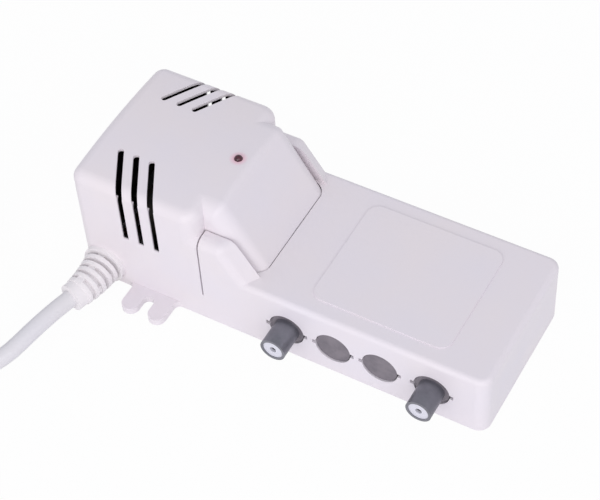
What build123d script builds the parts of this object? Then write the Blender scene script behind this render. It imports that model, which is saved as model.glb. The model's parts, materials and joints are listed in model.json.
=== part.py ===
from build123d import *
import math
import os

os.makedirs("parts", exist_ok=True)

# Indoor signal amplifier for a television aerial, modelled as its separate pieces, in millimetres.
# X runs from the power supply hood to the blank end, Y from the socket side to the back, Z upwards.
# The origin is the middle of the footprint, on the surface that the housing stands on.

# Housing
length = 160.0
width = 60.0
wall = 2.4
parting_height = 12.6
corner_radius = 4.5
seam = 0.35
hood_seam = 0.6
rebate = 0.3
overrun = 1.0

# Power supply hood
hood_length = 50.4
hood_height = 51.3
crown = 1.7
top_radius = 4.3
ramp_foot = 71.6
ramp_angle = 58.5
cheek_recess = 6.5
cheek_radius = 6.0
ridge_radius = 3.0
end_radius = 6.0

# Vent slots of the hood
slot_count = 3
slot_width = 2.2
slot_pitch = 6.3
slot_first = 20.7
slot_skew = 8.6
slot_spread = 28.6
slot_bottom = 27.0
vent_wall = 1.1
vent_margin = 3.0

# Amplifier cover
cover_height = 27.0
cover_wall = 2.2
cover_edge_radius = 2.0
wing_height = 41.2
wing_start = 62.1
wing_skew = 4.1
wing_radius = 4.0
panel_length = 51.8
panel_width = 46.4
panel_end_room = 18.0
panel_rise = 0.5
panel_radius = 4.5
tab_width = 3.2
tab_thickness = 1.6
tab_drop = 6.0
tab_root = 3.0

# Mounting ears
ear_from_end = 30.0
ear_slot_width = 4.4
ear_prong_width = 6.6
ear_reach = 11.5
ear_thickness = 2.8
ear_slot_depth = 8.4
ear_root_radius = 2.4

# Sockets and die-cast chassis
boss_diameter = 12.8
boss_recess = 0.5
boss_gap = 0.35
notch_reach = 1.3
notch_height = 0.9
chassis_wall = 1.8
chassis_left_room = 4.4
chassis_right_room = 6.6
chassis_back_room = 9.6
chassis_gap = 0.4
chassis_headroom = 1.6
chassis_pad = 1.0
pad_width = 3.0
lid_thickness = 0.6
lid_skirt = 3.0
lug_width = 7.6
lug_thickness = 2.4
lug_height = 8.0
socket_diameter = 9.5
socket_reach = 9.9
socket_wall = 1.0
socket_neck_diameter = 7.8
socket_neck_wall = 0.8
contact_diameter = 3.2
contact_bore = 2.4
contact_setback = 1.0
tail_width = 1.9
contact_tail = 4.6
tail_thickness = 0.8
insulator_inset = 0.3

# Amplifier board
board_thickness = 1.6
board_gap = 0.6
board_post_diameter = 5.2
board_post_inset_x = 3.0
board_post_inset_y = 4.0
trimmer_size = 8.0
trimmer_height = 4.2
trimmer_floor = 1.0
rotor_diameter = 5.8
rotor_rise = 0.9
rotor_slot = 0.9
rotor_slot_depth = 1.2
running_gap = 0.05
trimmer_hole = 6.4
transistor_diameter = 4.8
transistor_height = 3.2
core_block_length = 6.0
core_block_width = 5.0
core_block_height = 3.0
core_hole = 1.2
disc_diameter = 4.6
disc_thickness = 1.8
leg_thickness = 0.5
leg_spread = 2.6
resistor_diameter = 2.0
resistor_length = 5.4
small_can_diameter = 6.3
small_can_height = 7.4

# Cover, chassis, board and plate screws
screw_diameter = 2.9
screw_length = 7.0
screw_clearance = 0.25
screw_head_diameter = 5.2
screw_head_height = 1.4
post_diameter = 6.8
board_screw_diameter = 2.0
board_screw_head = 3.6
board_screw_head_height = 1.2
board_screw_length = 5.0
post_from_corner = 8.6
back_post_inset = 4.8
lug_from_post = 17.0

# Bottom plate
plate_gap = 0.25
plate_vent_count = 4
plate_vent_width = 1.8
plate_vent_length = 22.0
plate_vent_pitch = 4.0
plate_boss_from_end = 18.8
plate_boss_height = 11.0
plate_post_room = 5.2

# Transformer
core_width = 42.0
core_leg = 7.0
core_window_height = 21.0
core_stack = 15.0
core_from_end = 29.0
bobbin_wall = 0.9
winding_gap = 0.2
winding_build = 6.2
frame_thickness = 1.0
frame_width = 10.0
frame_foot = 5.0

# Terminal block and leads
terminal_length = 9.0
terminal_depth = 6.4
terminal_height = 9.6
terminal_room = 2.0
terminal_front = 1.0
terminal_bore = 3.0
mains_wire_diameter = 2.0
mains_wire_spread = 2.8
lead_diameter = 1.4
lead_bend = 1.6
lead_rise = 2.2

# Power board
power_board_length = 21.0
power_board_width = 38.0
power_board_height = 5.0
power_board_end_room = 4.0
smoothing_diameter = 12.5
smoothing_height = 22.0
smoothing_ring = 0.5
diode_diameter = 2.7
diode_length = 5.2
regulator_width = 10.0
regulator_height = 9.2
regulator_thickness = 4.4
regulator_leg = 3.6
tab_height = 6.0
tab_metal = 1.3
sink_thickness = 1.5
sink_width = 16.0
sink_height = 20.0
sink_fin = 6.0

# Indicator lamp
lamp_from_end = 50.4
lamp_offset = 0.8
lamp_diameter = 3.0
lamp_flange_diameter = 3.8
lamp_flange_height = 0.9
lamp_seat = 0.4
lamp_rise = 1.3
lamp_gap = 0.05
lamp_lead = 0.5
lamp_lead_spread = 2.54
lamp_lead_length = 9.0
lamp_wire_diameter = 1.1
lamp_wire_jog = 2.4

# Mains cord, its strain relief and its coil
cord_diameter = 6.4
relief_from_end = 9.5
relief_height = 8.2
relief_flange_diameter = 16.0
relief_diameter = 14.4
relief_tip_diameter = 10.4
relief_core_diameter = 9.0
relief_flange = 1.8
relief_length = 20.0
relief_straight = 6.0
relief_bend = 17.0
relief_neck_diameter = 9.2
relief_clip_diameter = 11.0
relief_clip = 1.8
relief_gap = 0.3
relief_ring = 1.5
relief_cap = 3.6
relief_bridge = 2.8
relief_ring_count = 5
jacket_inside = 1.6
coil_centre_x = -158.4
coil_centre_y = -55.0
coil_radius = 46.5
coil_pitch = 6.95
coil_layer = 6.95
coil_tuck = 1.0
coil_height = 4.3
coil_half_turns = 6
cord_rest = 0.2
lead_first_run = 10.5
lead_corner_x = -82.1
lead_corner_y = -86.0
lead_corner_run = 17.5
tail_first_run = 10.0
tail_last_run = 10.0
tail_reach = 34.0
tie_thickness = 0.9
tie_width = 5.0
tie_gap = 0.2
tie_sag = 0.5
plug_length = 34.0
plug_width = 35.0
plug_thickness = 13.7
plug_grip_width = 21.0
plug_edge_radius = 2.5
plug_collar_diameter = 10.0
plug_collar_length = 12.0
pin_diameter = 4.0
pin_length = 19.0
pin_spacing = 18.6
pin_sleeve_length = 10.0
pin_root = 6.0

# Shares of the sizes that they follow
bend_share = 0.45
socket_shares = [0.026875, 0.139375, 0.251875, 0.37375]
plug_outline_shares = [(0.0, 1.0), (0.42, 1.0), (0.66, 0.22), (1.0, 0.0)]
transistor_shares = [(0.30, 0.42), (0.56, 0.42), (0.80, 0.42)]
core_shares = [(0.16, 0.40), (0.43, 0.40), (0.68, 0.40), (0.91, 0.40)]
disc_shares = [
    (0.24, 0.22), (0.36, 0.22), (0.50, 0.22), (0.62, 0.22), (0.74, 0.22),
    (0.24, 0.60), (0.80, 0.62),
]
resistor_shares = [(0.22, 0.78), (0.38, 0.90), (0.62, 0.90), (0.66, 0.62), (0.82, 0.80)]
trimmer_shares = (0.46, 0.68)
small_can_shares = [(0.10, 0.72)]
smoothing_shares = (0.48, 0.78)
diode_shares = [(0.50, 0.05), (0.50, 0.13), (0.50, 0.21), (0.50, 0.29)]
sink_shares = (0.74, 0.40)

# Places that follow from the sizes
left = -length / 2
right = length / 2
front = -width / 2
back = width / 2
inner_back = back - wall
hood_end = left + hood_length
foot = left + ramp_foot
cover_end = hood_end + hood_seam
cheek = back - cheek_recess
hood_top = hood_height + crown
roof_radius = (back**2 + crown**2) / (2 * crown)
ramp_turn = math.radians(ramp_angle)
shelf_bottom = parting_height - wall
wing_end = left + wing_start
cover_ceiling = cover_height - cover_wall
inside_cover = back - cover_wall

socket_places = [share * length for share in socket_shares]
live_sockets = [socket_places[0], socket_places[3]]

chassis_left = foot + chassis_left_room
chassis_right = right - wall - chassis_right_room
chassis_front = -inner_back + chassis_gap
chassis_back = inner_back - chassis_back_room
chassis_base = wall + chassis_pad
chassis_height = cover_ceiling - chassis_headroom - lid_thickness
boss_face = front + boss_recess
chassis_inside = chassis_front + chassis_wall

board_left = chassis_left + chassis_wall + board_gap
board_right = chassis_right - chassis_wall - board_gap
board_front = chassis_inside + board_gap
board_back = chassis_back - chassis_wall - board_gap
board_top = parting_height - tail_thickness / 2
board_bottom = board_top - board_thickness

post_x = [chassis_left + post_from_corner - lug_width / 2, chassis_right - post_from_corner + lug_width / 2]
back_post_y = inner_back - back_post_inset
lug_x = [post_x[0] + lug_from_post, post_x[1] - lug_from_post]

core_x = left + core_from_end
core_base = wall
core_half = core_width / 2
core_top = core_base + core_window_height + 2 * core_leg
bobbin_half_y = core_half - core_leg - winding_gap
bobbin_half_x = core_stack / 2 + winding_gap + bobbin_wall + winding_build
winding_base = core_base + core_leg + winding_gap
winding_top = core_base + core_leg + core_window_height - winding_gap

supply_right = foot - wall - power_board_end_room
supply_left = supply_right - power_board_length
supply_half = power_board_width / 2
supply_top = power_board_height + board_thickness

relief_x = left + relief_from_end
bend_radius = (relief_length - relief_straight) / math.radians(relief_bend)
cord_radius = cord_diameter / 2
lamp_x = left + lamp_from_end
lamp_seat_height = hood_top - wall + lamp_seat
terminal_x = left + wall + terminal_room + terminal_length / 2
terminal_back = terminal_front + terminal_depth
plate_bosses = [
    (left + plate_boss_from_end, -inner_back + post_diameter / 2),
    (left + plate_boss_from_end, inner_back - post_diameter / 2),
    (foot - wall - plate_post_room, -inner_back + post_diameter / 2),
    (foot - wall - plate_post_room, inner_back - post_diameter / 2),
]
coil_top_height = coil_height + coil_layer
plug_height = plug_thickness / 2

UP = Vector(0, 0, 1)
DOWN = Vector(0, 0, -1)
OUT = Vector(0, -1, 0)
IN = Vector(0, 1, 0)
ALONG = Vector(1, 0, 0)
BASE = (Align.CENTER, Align.CENTER, Align.MIN)


def slab(x0, x1, y0, y1, z0, z1):
    """A box between two corners."""
    middle = Pos((x0 + x1) / 2, (y0 + y1) / 2, (z0 + z1) / 2)
    return middle * Box(x1 - x0, y1 - y0, z1 - z0)


def rod(start, way, radius, reach):
    """A round bar that runs from a point along a direction."""
    return Plane(origin=start, z_dir=way).location * Cylinder(radius, reach, align=BASE)


def footprint(x0, x1, half, z0, z1, radius, corners=4):
    """A block with rounded upright corners, the last ones being those at high X."""
    block = slab(x0, x1, -half, half, z0, z1)
    uprights = block.edges().filter_by(Axis.Z).sort_by(Axis.X)
    return fillet(uprights[4 - corners:], radius)


def beyond(point, way, inset):
    """All that lies past a slanting face which is moved inwards by an inset."""
    face = Plane(origin=point, z_dir=way).offset(-inset)
    return face.location * Box(2 * length, 2 * length, length, align=BASE)


def facet(a, b, c, inset):
    """All that lies past the plane through three points, away from the foot of the hood."""
    middle = Vector(hood_end, 0, 0)
    a, b, c = Vector(*a), Vector(*b), Vector(*c)
    way = (b - a).cross(c - a)
    if way.dot(a - middle) < 0:
        way = way * -1
    return beyond(a, way, inset)


def save(name, *pieces):
    """Write one node from the solids of its pieces."""
    solids = [solid for piece in pieces for solid in piece.solids()]
    export_step(Compound(solids), f"parts/{name}.step")
    print(name, len(solids), "solids", round(sum(solid.volume for solid in solids), 1), "mm3")


def one(shape):
    """The single solid of a shape."""
    solids = shape.solids()
    if len(solids) != 1:
        raise ValueError(f"{len(solids)} solids where one is due")
    return solids[0]


def screw(point, way, diameter, reach, head, head_height):
    """A cross-head screw: its head's face stands at the point and its shank runs on along the way."""
    body = rod(point, way, diameter / 2, head_height + reach) + rod(point, way, head / 2, head_height)
    face = Plane(origin=point, z_dir=way).location
    cross = face * Box(head / 2, head / 8, head_height, align=(Align.CENTER, Align.CENTER, Align.CENTER))
    other = face * Box(head / 8, head / 2, head_height, align=(Align.CENTER, Align.CENTER, Align.CENTER))
    return one(body - cross - other)


def roofed(x0, x1, half, bottom, inset):
    """A block under the crowned roof of the hood."""
    block = slab(x0, x1, -half, half, bottom, hood_top + overrun)
    centre = (x0 - overrun, 0, hood_top - roof_radius)
    return block & rod(centre, ALONG, roof_radius - inset, x1 - x0 + 2 * overrun)


def hood_form(inset, bottom):
    """The rounded block of the hood, drawn in by an inset."""
    block = roofed(left + inset, hood_end - inset, back - inset, bottom, inset)
    block = fillet(block.edges().filter_by(Axis.Z).sort_by(Axis.X)[:2], corner_radius - inset)
    block = fillet(block.edges().filter_by(Axis.Z).sort_by(Axis.X)[-2:], end_radius - inset)
    low = hood_height - inset - crown
    rim = [edge for edge in block.edges() if edge.center().Z > low]
    return fillet(rim, top_radius - inset)


def shoulder():
    """The hood's end beside the wings, which stands out below its rounded corners."""
    block = slab(hood_end - 2 * end_radius, hood_end, -back, back, wall, wing_height)
    edges = block.edges().filter_by(Axis.X).sort_by(Axis.Z)[-2:]
    return fillet(edges, wing_radius)


def snout_form(inset, bottom):
    """The narrower front of the hood with its ramp and its round cheeks."""
    block = roofed(hood_end - 2 * wall, foot - inset, cheek - inset, bottom, inset)
    ramp_way = Vector(math.sin(ramp_turn), 0, math.cos(ramp_turn))
    block = block - beyond((foot, 0, cover_height), ramp_way, inset)
    edges = [edge for edge in block.edges() if edge.center().Z > cover_height - inset]
    edges = [edge for edge in edges if edge.bounding_box().size.Y < seam < edge.bounding_box().size.X]
    return fillet(edges, cheek_radius - inset)


def soft_snout():
    """The snout's outer form with the ridge between its roof and its ramp eased."""
    block = snout_form(0, 0)
    edges = [edge for edge in block.edges() if edge.center().Z > hood_height - crown]
    edges = [edge for edge in edges if edge.bounding_box().size.Y > cheek]
    return fillet(max(edges, key=lambda edge: edge.bounding_box().min.X), ridge_radius)


def notch(x):
    """The round opening of one socket in the front wall, with a small relief at each side."""
    radius = boss_diameter / 2 + boss_gap
    hole = rod((x, front - overrun, parting_height), IN, radius, wall + 2 * overrun)
    reach = radius + notch_reach
    z0, z1 = parting_height - notch_height, parting_height + notch_height
    return hole + slab(x - reach, x + reach, front - overrun, -inner_back + overrun, z0, z1)


def vent(x, side):
    """One vent slot: slanting over the roof and then straight down the side wall."""
    start = Vector(x - slot_skew, side * slot_spread / 2)
    end = Vector(x, side * back)
    run = end - start
    run = run * (1 + slot_width / run.length)
    angle = math.degrees(math.atan2(run.Y, run.X))
    depth = hood_top - hood_height + 2 * wall
    middle = start + run * 0.5
    low = hood_height - depth / 2
    top = Pos(middle.X, middle.Y, low) * Rot(0, 0, angle) * Box(run.length, slot_width, 2 * depth, align=BASE)
    round_end = rod((start.X, start.Y, low), UP, slot_width / 2, 2 * depth)
    y0, y1 = sorted((side * (inner_back - overrun), side * (back + overrun)))
    half = slot_width / 2
    return top + round_end + slab(x - half, x + half, y0, y1, slot_bottom, low + half)


def vent_field():
    """The inside of the hood about its vent slots, where its wall is thinner."""
    x0 = left + slot_first - slot_skew - vent_margin
    x1 = left + slot_first + (slot_count - 1) * slot_pitch + vent_margin
    return hood_form(vent_wall, 0) & slab(x0, x1, -back, back, slot_bottom - vent_margin, hood_top)


def ear(side):
    """A mounting ear with an open slot and flared roots."""
    x = left + ear_from_end
    half = ear_slot_width / 2 + ear_prong_width
    prong = ear_prong_width / 2
    tip = back + ear_reach
    middle = ear_slot_width / 2 + prong
    plate = slab(x - half, x + half, inner_back, tip - prong, 0, ear_thickness)
    for way in (-1, 1):
        plate = plate + rod((x + way * middle, tip - prong, 0), UP, prong, ear_thickness)
        x0, x1 = sorted((x + way * half, x + way * (half + ear_root_radius)))
        root = slab(x0, x1, inner_back, back + ear_root_radius, 0, ear_thickness)
        centre = (x + way * (half + ear_root_radius), back + ear_root_radius, 0)
        plate = plate + (root - rod(centre, UP, ear_root_radius, ear_thickness))
    bottom = tip - ear_slot_depth + ear_slot_width / 2
    slot = slab(x - ear_slot_width / 2, x + ear_slot_width / 2, bottom, tip + overrun, 0, ear_thickness)
    plate = plate - slot - rod((x, bottom, 0), UP, ear_slot_width / 2, ear_thickness)
    return plate if side > 0 else plate.mirror(Plane.XZ)


def bottom_boss(x, y):
    """A screw post of the housing above the bottom plate."""
    outer = post_diameter / 2
    side = inner_back + wall / 2 if y > 0 else -inner_back - wall / 2
    height = plate_boss_height if x < hood_end else shelf_bottom - wall / 2
    post = rod((x, y, wall), UP, outer, height)
    return post + slab(x - outer, x + outer, min(y, side), max(y, side), wall, wall + height)


def main_housing():
    """The hood and the tray in one moulding, open below the hood and above the tray."""
    shell = footprint(left, right, back, 0, parting_height, corner_radius)
    shell = shell + hood_form(0, wall) + shoulder() + soft_snout()
    shell = shell - hood_form(wall, -overrun) - vent_field() - snout_form(wall, -overrun) - lamp_hole()
    shell = shell - slab(hood_end - 2 * wall, foot - wall, -inner_back, inner_back, -overrun, shelf_bottom)
    top = parting_height + overrun
    shell = shell - footprint(foot, right - wall, inner_back, wall, top, corner_radius - wall, 2)
    for x in socket_places:
        shell = shell - notch(x)
    for number in range(slot_count):
        for side in (-1, 1):
            shell = shell - vent(left + slot_first + number * slot_pitch, side)
    shell = shell + ear(-1) + ear(1)
    return one(finish_housing(shell))


def screw_way(x, y):
    """The hole and the sunk seat of a screw that is driven in from below."""
    hole = rod((x, y, -overrun), UP, screw_diameter / 2 + screw_clearance, 2 * wall)
    return hole + rod((x, y, -overrun), UP, screw_head_diameter / 2 + screw_clearance, overrun + screw_head_height)


def finish_housing(shell):
    """Add the housing's posts and ribs, and cut its holes."""
    for x, y in plate_bosses:
        shell = shell + bottom_boss(x, y)
        shell = shell - rod((x, y, wall), UP, screw_diameter / 2, screw_length)
    for y in (board_front + pad_width, board_back - pad_width):
        rib = slab(chassis_left + wall, chassis_right - wall, y, y + pad_width, wall / 2, chassis_base)
        shell = shell + rib
    for x in lug_x:
        shell = shell + rod((x, back_post_y, wall / 2), UP, post_diameter / 2, lug_height - wall / 2)
        start = (x, back_post_y, lug_height - screw_length + overrun)
        shell = shell - rod(start, UP, screw_diameter / 2, screw_length)
    for x in post_x:
        shell = shell - screw_way(x, back_post_y)
    neck = relief_neck_diameter / 2 + relief_gap
    shell = shell - rod((relief_x, front - overrun, relief_height), IN, neck, wall + overrun)
    low = -overrun
    shell = shell - slab(relief_x - neck, relief_x + neck, front - overrun, -inner_back, low, relief_height)
    return shell - supply_passage(foot - wall, foot)


def lamp_hole():
    """The hole of the indicator lamp in the roof, wider below for its flange."""
    start = (lamp_x, lamp_offset, hood_top - 2 * wall)
    hole = rod(start, UP, lamp_diameter / 2 + lamp_gap, 3 * wall)
    return hole + rod(start, UP, lamp_flange_diameter / 2 + lamp_gap, wall + lamp_seat)


def supply_passage(x0, x1):
    """The hole for the supply wires through an upright wall."""
    half = 2 * lead_diameter
    z = board_top + supply_wire_rise()
    return slab(x0 - overrun, x1 + overrun, -half, half, z - lead_diameter, z + lead_diameter)


def supply_wire_rise():
    """How far the supply wires run above the amplifier board."""
    return 3 * lead_diameter


def wing_block(side, room):
    """One raised wing of the cover beside the snout, drawn in by the room given."""
    outer = back - room
    near = cheek + seam + room
    bottom = parting_height if room == 0 else parting_height - overrun
    y0, y1 = sorted((side * near, side * outer))
    x0 = cover_end + room
    block = slab(x0, foot + room, y0, y1, bottom, wing_height - room)
    start = (wing_end, side * cheek, wing_height)
    toe = (foot, side * cheek, cover_height)
    outside = (wing_end - wing_skew, side * back, wing_height)
    block = block - facet(start, toe, outside, room)
    if room > 0:
        return block
    edges = [edge for edge in block.edges() if abs(abs(edge.center().Y) - back) < seam]
    edges = [edge for edge in edges if edge.center().Z > cover_height and edge.center().X > cover_end + seam]
    slant = [edge for edge in block.edges() if edge.center().Z > cover_height]
    slant = [edge for edge in slant if edge.bounding_box().size.Y > wing_skew and edge.center().X > cover_end + seam]
    return fillet(edges + slant, wing_radius)


def amplifier_cover():
    """The low cover with its two raised wings, its panel, screw posts and locating tabs."""
    low = footprint(cover_end, right, back, parting_height, cover_height, corner_radius, 2)
    rim = [edge for edge in low.edges() if edge.center().Z > cover_height - seam]
    rim = [edge for edge in rim if edge.bounding_box().max.X > cover_end + seam]
    shell = fillet(rim, cover_edge_radius) + wing_block(-1, 0) + wing_block(1, 0)
    x0, x1, radius = cover_end + cover_wall, right - cover_wall, corner_radius - cover_wall
    inside = footprint(x0, x1, inside_cover, parting_height - overrun, cover_ceiling, radius, 2)
    shell = shell - inside - wing_block(-1, cover_wall) - wing_block(1, cover_wall)
    shell = shell - snout_form(-seam, 0)
    panel = Pos(right - panel_end_room - panel_length / 2, 0, cover_height - panel_rise)
    shell = shell + panel * extrude(RectangleRounded(panel_length, panel_width, panel_radius), 2 * panel_rise)
    for x in post_x:
        reach = cover_ceiling - wall + cover_wall / 2
        shell = shell + rod((x, back_post_y, wall), UP, post_diameter / 2, reach)
        shell = shell - rod((x, back_post_y, 0), UP, screw_diameter / 2, wall + screw_length)
    for x, side in tab_places():
        shell = shell + cover_tab(x, side)
    for x in socket_places:
        shell = shell - notch(x)
    return one(shell)


def tab_places():
    """Where the cover's locating tabs hang: near both ends of the front wall, and of the back wall."""
    near = foot + seam + tab_width / 2 + rebate
    far = right - corner_radius - tab_width / 2
    return [(near, -1), (far, -1), (far, 1)]


def cover_tab(x, side):
    """A tab that reaches down inside the tray's wall."""
    outer = inner_back - seam
    y0, y1 = sorted((side * (outer - tab_thickness), side * outer))
    r0, r1 = sorted((side * (outer - tab_thickness), side * (inside_cover + cover_wall / 2)))
    x0, x1 = x - tab_width / 2, x + tab_width / 2
    tab = slab(x0, x1, y0, y1, parting_height - tab_drop, parting_height)
    return tab + slab(x0, x1, r0, r1, parting_height, parting_height + tab_root)


def bottom_plate():
    """The plate that closes the hood from below and carries the power supply."""
    x0, x1 = left + wall + plate_gap, foot - wall - plate_gap
    half = inner_back - plate_gap
    plate = footprint(x0, x1, half, 0, wall, corner_radius - wall, 4)
    neck = relief_neck_diameter / 2
    plate = plate + slab(relief_x - neck, relief_x + neck, front, -half + wall, 0, wall)
    plate = plate + slab(relief_x - neck, relief_x + neck, front, -half, 0, relief_height - neck - rebate)
    for x, y in plate_bosses:
        plate = plate - screw_way(x, y)
    for x, y in power_posts():
        plate = plate + rod((x, y, wall / 2), UP, board_post_diameter / 2, power_board_height - wall / 2)
        start = (x, y, supply_top - board_screw_length)
        plate = plate - rod(start, UP, board_screw_diameter / 2, board_screw_length)
    start = (supply_left + supply_right) / 2 - plate_vent_pitch * (plate_vent_count - 1) / 2
    for number in range(plate_vent_count):
        x = start + number * plate_vent_pitch
        side, reach = plate_vent_width / 2, plate_vent_length / 2
        plate = plate - slab(x - side, x + side, -reach, reach, -overrun, 2 * wall)
    for side in (-1, 1):
        y = side * (core_half + frame_thickness + frame_foot / 2)
        plate = plate - rod((core_x, y, -overrun), UP, board_screw_diameter / 2, 2 * wall)
    return one(plate)


def power_posts():
    """Where the power board's screws stand."""
    inset = board_post_diameter / 2 + rebate
    xs = (supply_left + inset, supply_right - inset)
    return [(x, side * (supply_half - inset)) for x in xs for side in (-1, 1)]


def chassis():
    """The die-cast box with its four bosses, board posts, wire hole and lugs."""
    box = slab(chassis_left, chassis_right, chassis_front, chassis_back, chassis_base, chassis_height)
    box = box - slab(chassis_left + chassis_wall, chassis_right - chassis_wall, chassis_inside,
                     chassis_back - chassis_wall, chassis_base + chassis_wall, chassis_height + overrun)
    for x in socket_places:
        box = box + rod((x, boss_face, parting_height), IN, boss_diameter / 2, chassis_inside - boss_face)
    for x in live_sockets:
        box = box - rod((x, boss_face - overrun, parting_height), IN, socket_neck_diameter / 2, 3 * wall)
    for x, y in board_posts():
        box = box + rod((x, y, chassis_base + chassis_wall / 2), UP, board_post_diameter / 2,
                        board_bottom - chassis_base - chassis_wall / 2)
        start = (x, y, board_top - board_screw_length)
        box = box - rod(start, UP, board_screw_diameter / 2, board_screw_length)
    for x in lug_x:
        half = lug_width / 2
        y0, top = chassis_back - chassis_wall / 2, lug_height + lug_thickness
        lug = slab(x - half, x + half, y0, back_post_y, lug_height, top)
        lug = lug + rod((x, back_post_y, lug_height), UP, half, lug_thickness)
        box = box + lug - rod((x, back_post_y, 0), UP, screw_diameter / 2 + screw_clearance, chassis_height)
    return one(box - supply_passage(chassis_left, chassis_left + chassis_wall))


def board_posts():
    """Where the amplifier board's screws stand."""
    xs = (board_left + board_post_inset_x, board_right - board_post_inset_x)
    ys = (board_front + board_post_inset_y, board_back - board_post_inset_y)
    return [(x, y) for x in xs for y in ys]


def chassis_lid():
    """The tinplate lid, with skirts that grip three sides of the chassis and a hole above the trimmer."""
    x0, x1 = chassis_left - lid_thickness, chassis_right + lid_thickness
    y1 = chassis_back + lid_thickness
    lid = slab(x0, x1, chassis_front, y1, chassis_height - lid_skirt, chassis_height + lid_thickness)
    lid = lid - slab(chassis_left, chassis_right, chassis_front - overrun, chassis_back, 0, chassis_height)
    x, y = on_board(trimmer_shares)
    return one(lid - rod((x, y, chassis_height - overrun), UP, trimmer_hole / 2, 2 * overrun))


def on_board(shares):
    """A place on the amplifier board."""
    x = board_left + shares[0] * (board_right - board_left)
    return x, board_front + shares[1] * (board_back - board_front)


def on_supply(shares):
    """A place on the power board."""
    x = supply_left + shares[0] * power_board_length
    return x, -supply_half + shares[1] * power_board_width


def socket_barrel(x):
    """The metal sleeve of one coaxial socket, with its neck pressed into the boss."""
    outer, neck = socket_diameter / 2, socket_neck_diameter / 2
    tip = front - socket_reach
    sleeve = rod((x, tip, parting_height), IN, outer, boss_face - tip)
    sleeve = sleeve + rod((x, tip, parting_height), IN, neck, chassis_inside - tip)
    reach = boss_face - socket_wall - tip + overrun
    sleeve = sleeve - rod((x, tip - overrun, parting_height), IN, outer - socket_wall, reach)
    return one(sleeve - rod((x, tip, parting_height), IN, neck - socket_neck_wall, length))


def socket_insulator(x):
    """The white insulator that fills the sleeve."""
    tip = front - socket_reach + insulator_inset
    wide, narrow = socket_diameter / 2 - socket_wall, socket_neck_diameter / 2 - socket_neck_wall
    plug = rod((x, tip, parting_height), IN, wide, boss_face - socket_wall - tip)
    plug = plug + rod((x, tip, parting_height), IN, narrow, chassis_inside - tip)
    plug = plug - rod((x, tip - overrun, parting_height), IN, contact_bore / 2, length)
    return one(plug - rod((x, tip + contact_setback, parting_height), IN, contact_diameter / 2, length))


def socket_contact(x):
    """The centre contact, a tube at the front and a flat tail that lies on the board."""
    tip = front - socket_reach + insulator_inset + contact_setback
    tube = rod((x, tip, parting_height), IN, contact_diameter / 2, chassis_inside + board_gap / 2 - tip)
    half = tail_thickness / 2
    tail = slab(x - tail_width / 2, x + tail_width / 2, chassis_inside, chassis_inside + contact_tail,
                parting_height - half, parting_height + half)
    return one(tube + tail - rod((x, tip - overrun, parting_height), IN, contact_bore / 2, socket_reach))


def amplifier_board():
    """The printed board inside the chassis."""
    board = slab(board_left, board_right, board_front, board_back, board_bottom, board_top)
    for x, y in board_posts():
        board = board - rod((x, y, 0), UP, board_screw_diameter / 2 + screw_clearance, chassis_height)
    return one(board)


def board_screw(x, y, top):
    """A small screw that holds a board on its post."""
    point = (x, y, top + board_screw_head_height)
    sizes = (board_screw_diameter, board_screw_length, board_screw_head, board_screw_head_height)
    return screw(point, DOWN, *sizes)


def trimmer_body():
    """The square body of the gain trimmer."""
    x, y = on_board(trimmer_shares)
    half = trimmer_size / 2
    body = slab(x - half, x + half, y - half, y + half, board_top, board_top + trimmer_height)
    body = fillet(body.edges().filter_by(Axis.Z), rotor_slot)
    well = rotor_diameter / 2 + running_gap
    return one(body - rod((x, y, board_top + trimmer_floor), UP, well, trimmer_height))


def trimmer_rotor():
    """The slotted disc that sets the gain."""
    x, y = on_board(trimmer_shares)
    base = board_top + trimmer_floor
    top = board_top + trimmer_height + rotor_rise
    disc = rod((x, y, base), UP, rotor_diameter / 2, top - base)
    half = rotor_slot / 2
    arrow = slab(x, x + rotor_diameter, y - half, y + half, top - rotor_slot_depth, top + overrun)
    low = top - rotor_slot_depth
    return one(disc - arrow - slab(x - rotor_diameter / 3, x, y - half, y + half, low, top + overrun))


def transistor(x, y):
    """A small can on the board with a locating flange."""
    can = rod((x, y, board_top), UP, transistor_diameter / 2, transistor_height)
    return one(can + rod((x, y, board_top), UP, transistor_diameter / 2 + leg_thickness, leg_thickness))


def ferrite(x, y):
    """A two-hole ferrite core."""
    half_x, half_y = core_block_length / 2, core_block_width / 2
    block = slab(x - half_x, x + half_x, y - half_y, y + half_y, board_top, board_top + core_block_height)
    block = fillet(block.edges().filter_by(Axis.Y), core_block_height / 3)
    middle = board_top + core_block_height / 2
    for way in (-1, 1):
        start = (x + way * half_x / 2, y - core_block_width, middle)
        block = block - rod(start, IN, core_hole / 2, 2 * core_block_width)
    return one(block)


def disc_capacitor(x, y):
    """A ceramic disc that stands on two legs."""
    lift = disc_diameter / 2 + leg_thickness
    disc = rod((x, y - disc_thickness / 2, board_top + lift), IN, disc_diameter / 2, disc_thickness)
    for way in (-1, 1):
        place = x + way * leg_spread / 2
        half = leg_thickness / 2
        disc = disc + slab(place - half, place + half, y - half, y + half, board_top, board_top + lift)
    return one(disc)


def axial(x, y, top, diameter, reach):
    """A part with a round body along X and a leg at each end, standing on a board."""
    half = leg_thickness / 2
    middle = top + diameter / 2 + half
    part = rod((x - reach / 2, y, middle), ALONG, diameter / 2, reach)
    end = reach / 2 + 2 * leg_thickness
    part = part + slab(x - end, x + end, y - half, y + half, middle - half, middle + half)
    for way in (-1, 1):
        place = x + way * end
        part = part + slab(place - half, place + half, y - half, y + half, top, middle + half)
    return one(part)


def can_capacitor(x, y, top, diameter, reach):
    """An upright electrolytic capacitor with a groove near its foot."""
    can = rod((x, y, top), UP, diameter / 2, reach)
    can = fillet(can.edges().sort_by(Axis.Z)[-1:], smoothing_ring)
    ring = rod((x, y, top + 3 * smoothing_ring), UP, diameter / 2 + overrun, smoothing_ring)
    ring = ring - rod((x, y, top + 2 * smoothing_ring), UP, diameter / 2 - smoothing_ring, 3 * smoothing_ring)
    return one(can - ring)


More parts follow.
